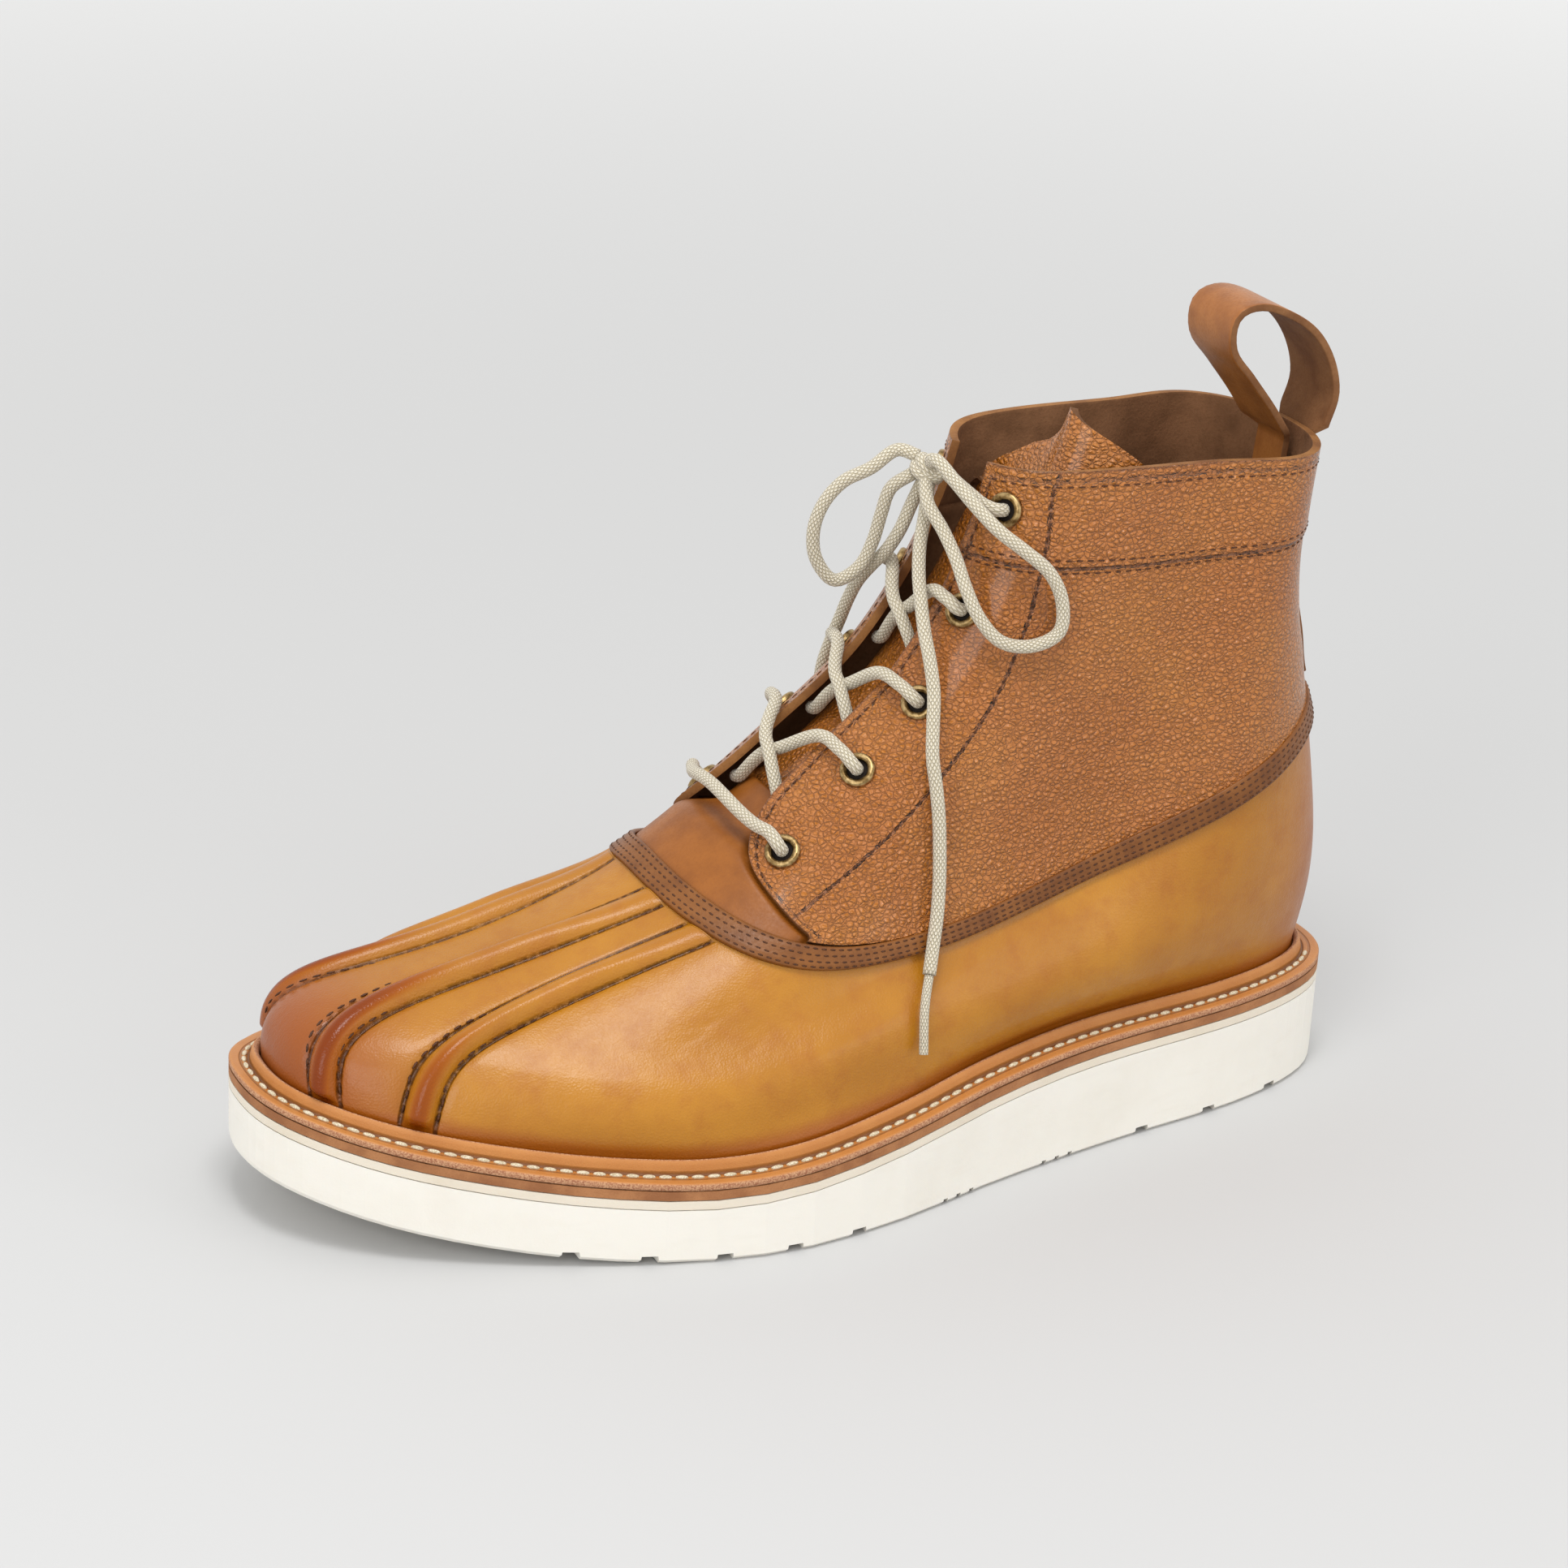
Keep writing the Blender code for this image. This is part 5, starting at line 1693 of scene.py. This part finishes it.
@dataclass
class Stitching:
    """Every stitch as a small rounded thread lying along its seam."""

    boot: Boot
    band: Band
    shaft: Shaft
    welt_inset: float = 0.0038
    heel_gap: float = 0.24
    stay_clear: float = 0.36
    facing_inset: float = 0.0028
    facing_clear: float = 0.06
    collar_row: float = 13.76
    seam_drops: tuple = (-0.06, 0.10)

    def sew(self, path: np.ndarray, normals: np.ndarray, kind: Seam) -> list:
        """Places of the stitches along a line.

        Args:
            path: the line.
            normals: which way is out at each point.
            kind: stitch sizes.
        Returns:
            Centres and half axes, one 4 by 3 array a stitch.
        """
        long, wide, thick, pitch = kind.value
        steps = line_steps(path)
        count = max(int(steps[-1] / pitch), 1)
        spots = (np.arange(count) + 0.5) * steps[-1] / count
        place, ahead, up = (
            np.stack([np.interp(at, steps, c) for c in line.T], axis=-1)
            for at, line in ((spots, path), (spots + 0.0004, path), (spots, normals))
        )
        along = ahead - place
        along /= np.maximum(np.linalg.norm(along, axis=1, keepdims=True), 1e-9)
        out = up - along * (up * along).sum(axis=1, keepdims=True)
        out /= np.linalg.norm(out, axis=1, keepdims=True)
        side = np.cross(out, along)
        return list(np.stack([place, along * long / 2, side * wide / 2, out * thick / 2], axis=1))

    def thread_piece(self, name: str, stitches: list, detail: int) -> Object:
        """Joins copies of one rounded stitch.

        Args:
            name: the piece's name.
            stitches: centres and half axes.
            detail: how round a stitch is.
        Returns:
            The piece.
        """
        bm = bmesh.new()
        bmesh.ops.create_icosphere(bm, subdivisions=detail, radius=1.0)
        one = bpy.data.meshes.new("one stitch")
        bm.to_mesh(one)
        bm.free()
        shape = np.array([vert.co[:] for vert in one.vertices])
        loops = np.array([face.vertices[:] for face in one.polygons])
        bpy.data.meshes.remove(one)
        frames = np.array(stitches)
        spots = frames[:, None, 0] + np.einsum("vk,skc->svc", shape, frames[:, 1:])
        faces = loops[None] + (np.arange(len(frames)) * len(shape))[:, None, None]
        mesh = bpy.data.meshes.new(name)
        mesh.from_pydata(spots.reshape(-1, 3).tolist(), [], faces.reshape(-1, 3).tolist())
        mesh.shade_smooth()
        piece = bpy.data.objects.new(name, mesh)
        bpy.context.scene.collection.objects.link(piece)
        return piece

    def line(self, fronts: np.ndarray, rows: np.ndarray, side: int, lift: float) -> tuple:
        """A seam's line over the surface.

        Args:
            fronts: angles from the front.
            rows: row numbers.
            side: 1 lateral, -1 medial.
            lift: height over the last.
        Returns:
            Points and normals.
        """
        angle = side * (math.pi - np.asarray(fronts, float))
        rows = np.asarray(rows, float)
        normal = last_normal(angle, rows)
        return self.boot.world(last_surface(angle, rows) + normal * lift), normal

    def welt_seam(self) -> None:
        """Cream stitches along the welt's ledge."""
        angle = np.linspace(self.heel_gap, 2 * math.pi - self.heel_gap, 900)
        angle = np.where(angle > math.pi, angle - 2 * math.pi, angle)
        x, y = sole_point(angle, self.welt_inset)
        path = self.boot.world(np.stack([x, y, stack_height(x) + MIDSOLE + WELT + 0.0001], axis=-1))
        stitches = self.sew(path, np.tile((0.0, 0.0, 1.0), (len(path), 1)), Seam.WELT)
        piece = self.thread_piece("welt_stitches", stitches, 2)
        ride(piece, [Thread("cream welt thread", "E0D6BE", "B7A888").build()])

    def upper_seams(self) -> None:
        """Brown stitches of the band, collar, facings and vamp seams."""
        done = []
        angle = np.linspace(-math.pi, math.pi, 800)
        for share in self.band.stitch_rows:
            points, normal = self.band.spot(angle, share, np.full_like(angle, self.band.lift))
            done += self.sew(self.boot.world(points), normal, Seam.BAND)
        top = SHELL_STEP + COLLAR_STEP
        for side in (1, -1):
            back = math.pi - self.stay_clear
            fronts = np.linspace(back, float(throat_angle(COLLAR_SEAM_ROW)) + self.facing_clear, 300)
            for drop in self.seam_drops:
                lift = top if drop > 0 else SHELL_STEP
                rows = np.full_like(fronts, COLLAR_SEAM_ROW + drop)
                done += self.sew(*self.line(fronts, rows, side, lift), Seam.FINE)
            fronts = np.linspace(back, float(throat_angle(13.7)) + self.facing_clear, 300)
            done += self.sew(*self.line(fronts, np.full_like(fronts, self.collar_row), side, top), Seam.FINE)
            rows = np.linspace(8.75, 13.75, 300)
            lift = np.where(rows > COLLAR_SEAM_ROW, top, SHELL_STEP)[:, None]
            fronts = self.shaft.stay_angle(rows)
            done += self.sew(*self.line(fronts, rows, side, lift), Seam.FINE)
            edge = throat_angle(rows)
            fronts = edge + self.facing_inset / lateral_turn(side * (math.pi - edge), rows)
            done += self.sew(*self.line(fronts, rows, side, lift), Seam.FINE)
            rows = np.linspace(1.35, 7.97, 260)
            for ridge in (0, 1):
                middle = ridge_angle(ridge, rows)
                turn = lateral_turn(side * (math.pi - middle), rows)
                for way in (-1, 1):
                    fronts = middle + way * (RIDGE_WIDTH / 2 + 0.0005) / turn
                    done += self.sew(*self.line(fronts, rows, side, -0.0003), Seam.VAMP)
        piece = self.thread_piece("upper_stitches", done, 1)
        ride(piece, [Thread("dark brown thread", "5C3418", "3D200D").build()])

    def build(self) -> None:
        """Makes all stitches."""
        self.welt_seam()
        self.upper_seams()


@dataclass
class Eyelets:
    """Ten rolled brass rings, each with a dark disc of painted shade in its hole."""

    boot: Boot
    lip: float = 0.0014
    sides: int = 40
    rim: float = 0.0047
    seat: float = -0.0002
    hole_lift: float = 0.0002

    def ring(self, bm: bmesh.types.BMesh, number: int, side: int) -> None:
        """Adds one ring.

        Args:
            bm: mesh it goes to.
            number: row of the eyelet.
            side: 1 lateral, -1 medial.
        """
        row = EYELETS[number][0]
        angle = np.array(eyelet_angle(number, side))
        normal = last_normal(angle, np.array(row))
        centre = self.boot.world(last_surface(angle, np.array(row)) + normal * step_height(row))
        up = Vector(normal)
        across = up.cross(Vector((0, 0, 1))).normalized()
        middle = (self.rim + EYELET_BORE) / 2
        half = (self.rim - EYELET_BORE) / 2
        profile = [(EYELET_BORE, self.seat)]
        for i in range(9):
            turn = math.pi * i / 8
            profile.append((middle - half * math.cos(turn), self.lip * (0.35 + 0.65 * math.sin(turn))))
        profile.append((self.rim, self.seat))
        verts = [bm.verts.new(Vector(centre) + across * r + up * h) for r, h in profile]
        edges = [bm.edges.new(pair) for pair in zip(verts, verts[1:])]
        spin = {"axis": up, "cent": centre, "angle": 2 * math.pi, "steps": self.sides}
        bmesh.ops.spin(bm, geom=verts + edges, use_merge=True, **spin)

    def painted_shade(self, bm: bmesh.types.BMesh, number: int, side: int) -> None:
        """Adds a dark disc of painted shade at the bottom of one bore.

        Args:
            bm: mesh it goes to.
            number: row of the eyelet.
            side: 1 lateral, -1 medial.
        """
        row = EYELETS[number][0]
        angle = np.array(eyelet_angle(number, side))
        normal = last_normal(angle, np.array(row))
        lift = step_height(row) + self.hole_lift
        centre = self.boot.world(last_surface(angle, np.array(row)) + normal * lift)
        turn = Vector(normal).to_track_quat("Z", "Y").to_matrix().to_4x4()
        place = Matrix.Translation(centre) @ turn
        bmesh.ops.create_circle(bm, cap_ends=True, segments=24, radius=EYELET_BORE + 0.0001, matrix=place)

    def build(self) -> None:
        """Makes the pieces."""
        rings, holes = bmesh.new(), bmesh.new()
        names = []
        for number in range(len(EYELETS)):
            for side, word in ((1, "lateral"), (-1, "medial")):
                self.ring(rings, number, side)
                self.painted_shade(holes, number, side)
                names.append(f"eyelet_{word}_{number + 1}")
        bmesh.ops.recalc_face_normals(rings, faces=rings.faces)
        ride(finish_mesh("eyelets", rings), [Brass().build()], tuple(names))
        # The bores' dark discs are painted shade.
        dark = PlainLeather("shadowed bore", "1C120B", "120A06", 0.9).build()
        ride(finish_mesh("eyelet_bores", holes), [dark])


@dataclass
class Laces:
    """Braided cotton lace: crossings, knot, bow and ends."""

    boot: Boot
    strand_points: int = 80
    plait: Material = None

    def cord(self, name: str, points: np.ndarray, node: str) -> Object:
        """Makes one free length of lace.

        Args:
            name: the piece's name.
            points: its line in the last's frame.
            node: the CAD node it stands for.
        Returns:
            The piece.
        """
        line = self.boot.world(points)
        piece = tube(name, line, LACE_RADIUS)
        ride(piece, [self.plait], (node,))
        return piece

    def build(self) -> None:
        """Makes the pieces."""
        self.plait = Braid().build()
        self.cord("lace_bow_knot", dense(knot_path()), "lace_knot")
        loop = [self.to_knot(MEDIAL_LOOP[0]), *MEDIAL_LOOP, self.to_knot(MEDIAL_LOOP[-1])]
        self.cord("lace_bow_medial", dense(space_path(loop, MEDIAL_LOOP_POINTS)), "lace_loop_medial")
        start, stop = np.array(LATERAL_LOOP_ENDS)
        turns = self.over_surface(LATERAL_LOOP, 1)
        loop = space_path([self.to_knot(start), start, *turns, stop, self.to_knot(stop)], LATERAL_LOOP_POINTS)
        self.cord("lace_bow_lateral", dense(loop), "lace_loop_lateral")
        for side, name in ((1, "lateral"), (-1, "medial")):
            spots = self.over_surface(LACE_END, side)
            start = np.array(KNOT) + (LACE_END_START[0], -side * LACE_END_START[1], LACE_END_START[2])
            whole = space_path([self.to_knot(start), start, *spots], WHOLE_END_POINTS)
            cut = int(len(whole) * (1 - TIP_SHARE))
            tip = tube(f"lace_point_{name}", self.boot.world(whole[cut:]), TIP_RADIUS)
            ride(tip, [self.plait], (f"lace_tip_{name}",))
            tail = dense(even_points(whole[:cut], END_POINTS))
            self.cord(f"lace_tail_{name}", tail, f"lace_end_{name}")
        points = surface_path(bar_route(), self.strand_points)
        bar = tube("lace_bar_strand", self.boot.world(points), LACE_RADIUS)
        ride(bar, [self.plait], ("lace_bar",))
        for number in range(1, len(EYELETS) - 1):
            for side, word in ((1, "lateral"), (-1, "medial")):
                points = surface_path(crossing_route(number, side), self.strand_points)
                strand = tube(f"lace_strand_{number}_{word}", self.boot.world(points), LACE_RADIUS)
                ride(strand, [self.plait], (f"lace_cross_{number}",))
        self.wraps()

    def over_surface(self, table: tuple, side: int) -> list:
        """Places over the leather.

        Args:
            table: angles from the front, rows and heights.
            side: 1 lateral, -1 medial.
        Returns:
            Points.
        """
        spots = ((np.array(side * (math.pi - front)), np.array(row), up) for front, row, up in table)
        return [off_surface(*spot) for spot in spots]

    def to_knot(self, point: tuple) -> np.ndarray:
        """The place half way from a strand's end to the knot's middle.

        Args:
            point: the strand's end.
        Returns:
            The place.
        """
        return (np.array(point) + np.array(KNOT)) / 2

    def wraps(self) -> None:
        """Two turns of lace pulled tight round the bow's middle."""
        for number, (tip, reach) in enumerate(KNOT_WRAPS):
            axis = Vector(tip).normalized()
            side = axis.orthogonal().normalized()
            other = axis.cross(side)
            turns = np.linspace(0, 2 * math.pi, 40)
            ring = [Vector(KNOT) + (side * math.cos(a) + other * math.sin(a)) * reach for a in turns]
            piece = tube(f"lace_knot_wrap_{number + 1}", self.boot.world(np.array(ring)), LACE_RADIUS)
            ride(piece, [self.plait])


def dense(points: np.ndarray, count: int = 90) -> np.ndarray:
    """The same curve with more points.

    Args:
        points: its coarse points.
        count: how many to make.
    Returns:
        The points.
    """
    return space_path(points, count)


@dataclass
class PullLoop:
    """Strap that loops over the back of the collar and runs down as the back stay."""

    boot: Boot
    columns: int = 15
    inner_share: float = 0.94
    collar_rows: tuple = (12.55, 12.75)

    def build(self) -> None:
        """Makes the piece."""
        back, middle, top = last_surface(np.array(0.0), np.array(LAST_ROW)).tolist()
        offsets = np.linspace(-LOOP_WIDTH / 2, LOOP_WIDTH / 2, self.columns)
        lines = []
        rows, heights = zip(*LOOP_STAY)
        for row in np.linspace(rows[0], rows[-1], 60):
            height = float(blend(rows, heights, row))
            turn = float(lateral_turn(np.array(0.0), np.array(row)))
            angles = -offsets / turn
            step = SHELL_STEP + COLLAR_STEP * float(smoothstep(row, *self.collar_rows))
            full = np.full_like(angles, row)
            stand = np.full_like(angles, step + height)
            lines.append((off_surface(angles, full, stand), last_normal(angles, full)))
        arc = space_path([(back + x, middle, top + z) for x, z in LOOP_ARC], 50)
        for (x, _, z), (dx, _, dz) in zip(arc, np.gradient(arc, axis=0)):
            size = math.hypot(dx, dz)
            base = np.array([(x, middle + offset, z) for offset in offsets])
            lines.append((base, np.tile((dz / size, 0.0, -dx / size), (len(offsets), 1))))
        for row in np.linspace(*LOOP_INSIDE_ROWS, 12):
            turn = float(lateral_turn(np.array(0.0), np.array(row)))
            angles = -offsets * self.inner_share / turn
            full = np.full_like(angles, row)
            depth = np.full_like(angles, -WALL - LOOP_INSIDE_GAP)
            lines.append((off_surface(angles, full, depth), -last_normal(angles, full)))
        outer = np.array([base + normal * LOOP_THICK for base, normal in lines])
        along = np.repeat(np.arange(len(lines))[:, None], self.columns, axis=1).astype(float)
        look = lines[len(lines) // 2][1][0]
        piece = place_grid("pull_strap", self.boot.world(outer), {"along": along}, False, look)
        thicken(piece, LOOP_THICK, 0.0004)
        tan = PlainLeather("smooth strap leather", "A86A33", "8A5224", 0.42, 0.04, 0.7).build()
        flesh = PlainLeather("strap flesh side", "8A5F3A", "6E4526", 0.85, 0.1, 0.6).build()
        ride(piece, [tan, flesh, flesh], ("pull_loop",))


@dataclass
class Tongue:
    """Grained tongue under the laces with a gabled top, and the smooth piece at its foot."""

    boot: Boot
    rows: int = 110
    columns: int = 49
    first_row: float = 8.9
    gable: float = 1.9
    lean: float = 0.36
    tip: float = 0.25
    blunt: float = 0.10
    foot_half: float = 0.92
    foot_rows: float = 1.55
    foot_thick: float = 0.0010

    def blade(self) -> None:
        """Makes the grained tongue."""
        last = TONGUE[-1][0] + self.tip
        spread = np.linspace(-1, 1, self.columns)
        row, across = np.meshgrid(np.linspace(self.first_row, last, self.rows), spread, indexing="ij")
        rise = smoothstep(row, 12.7, last)
        side = across - self.lean * rise
        row = row - self.gable * (np.sqrt(side**2 + self.blunt**2) - self.blunt) * rise
        rows, widths, middles, edges = zip(*TONGUE)
        angle = math.pi - across * blend(rows, widths, row)
        bow = np.maximum(np.cos(across * math.pi / 2), 0) ** 1.5
        depth = blend(rows, edges, row) + (blend(rows, middles, row) - blend(rows, edges, row)) * bow
        normal = last_normal(angle, np.minimum(row, LAST_ROW))
        points = last_surface(angle, row) - normal * depth[..., None]
        look = normal[self.rows // 2][self.columns // 4]
        piece = place_grid("tongue_leather", self.boot.world(points), {}, False, look)
        thicken(piece, TONGUE_THICK, 0.0004)
        back = PlainLeather("tongue flesh side", "7D5636", "5C3B22", 0.88, 0.14, 0.7).build()
        front = GrainLeather("pebbled tongue leather", seams=False).build()
        ride(piece, [front, back, back], ("tongue",))

    def foot(self) -> None:
        """Makes the smooth piece between the band and the facings."""
        across, up = np.meshgrid(np.linspace(-1, 1, 121), np.linspace(0, 1, 60), indexing="xy")
        row = BAND_ROW + up * self.foot_rows
        angle = math.pi - across * self.foot_half
        front = np.abs(across) * self.foot_half
        turn = lateral_turn(angle, row)
        inside = (throat_angle(np.maximum(row, THROAT_ROW)) - front) * turn
        shown = smoothstep(inside, -0.0015, 0.0035)
        rows, _, middles, _ = zip(*TONGUE)
        low = np.minimum(-WALL - 0.0001, -blend(rows, middles, row) + 0.0012)
        seen = smoothstep(row, 8.12, 8.3) * shown * (1 - smoothstep(row, 8.75, 9.3))
        lift = low + (0.0002 - low) * seen
        under = -WALL + SHELL_STEP - 0.0005
        lift = np.maximum(lift, np.where(row < 8.9, under, low))
        lift = np.where(row < 8.2, np.minimum(lift, -WALL - 0.0002), lift)
        normal = last_normal(angle, row)
        points = last_surface(angle, row) + normal * lift[..., None]
        piece = place_grid("tongue_foot", self.boot.world(points), {}, False, normal[30][60])
        thicken(piece, self.foot_thick, 0.0)
        brown = PlainLeather("smooth brown tongue foot", "98591B", "824811", 0.44, 0.04, 0.7).build()
        ride(piece, [brown, brown, brown])

    def build(self) -> None:
        """Makes both pieces."""
        self.blade()
        self.foot()


@dataclass
class SoleFinishes:
    """Materials of the sole's layers and the footbed, which keep their solids."""

    nodes: dict

    def paint(self, node: str, material: Material) -> None:
        """Gives a CAD node its material.

        Args:
            node: the node's name.
            material: its material.
        """
        mesh = self.nodes[node].data
        mesh.materials.clear()
        mesh.materials.append(material)

    def build(self) -> None:
        """Makes the materials."""
        self.paint("outsole", Rubber("white wedge rubber", "EFEBE2", "E6E0D4", 0.7, 0.04).build())
        self.paint("foam_midsole", Rubber("cream foam rubber", "E6DCCB", "D6C8B0", 0.5, 0.05).build())
        stacked = PlainLeather("stacked leather edge", "B27A4E", "935E39", 0.7, 0.14, 0.5)
        self.paint("midsole", stacked.build())
        self.paint("insole", PlainLeather("footbed leather", "B08458", "946A42", 0.6, 0.05, 0.8).build())


def main() -> None:
    """Builds the scene in order."""
    logging.basicConfig(level=logging.INFO, format="%(message)s")
    boot = Boot()
    boot.measure()
    Studio().build(boot.shift)
    LOG.info("studio set, boot's middle line %.1f mm off", boot.shift * 1000)
    Laces(boot).build()
    shaft = Shaft(boot)
    band = Band(boot)
    for piece in (Shell(boot), shaft, band, Welt(boot), Tongue(boot), PullLoop(boot), Eyelets(boot)):
        piece.build()
        LOG.info("%s made", type(piece).__name__)
    Stitching(boot, band, shaft).build()
    SoleFinishes(frame["nodes"]).build()


if __name__ == "__main__":
    main()
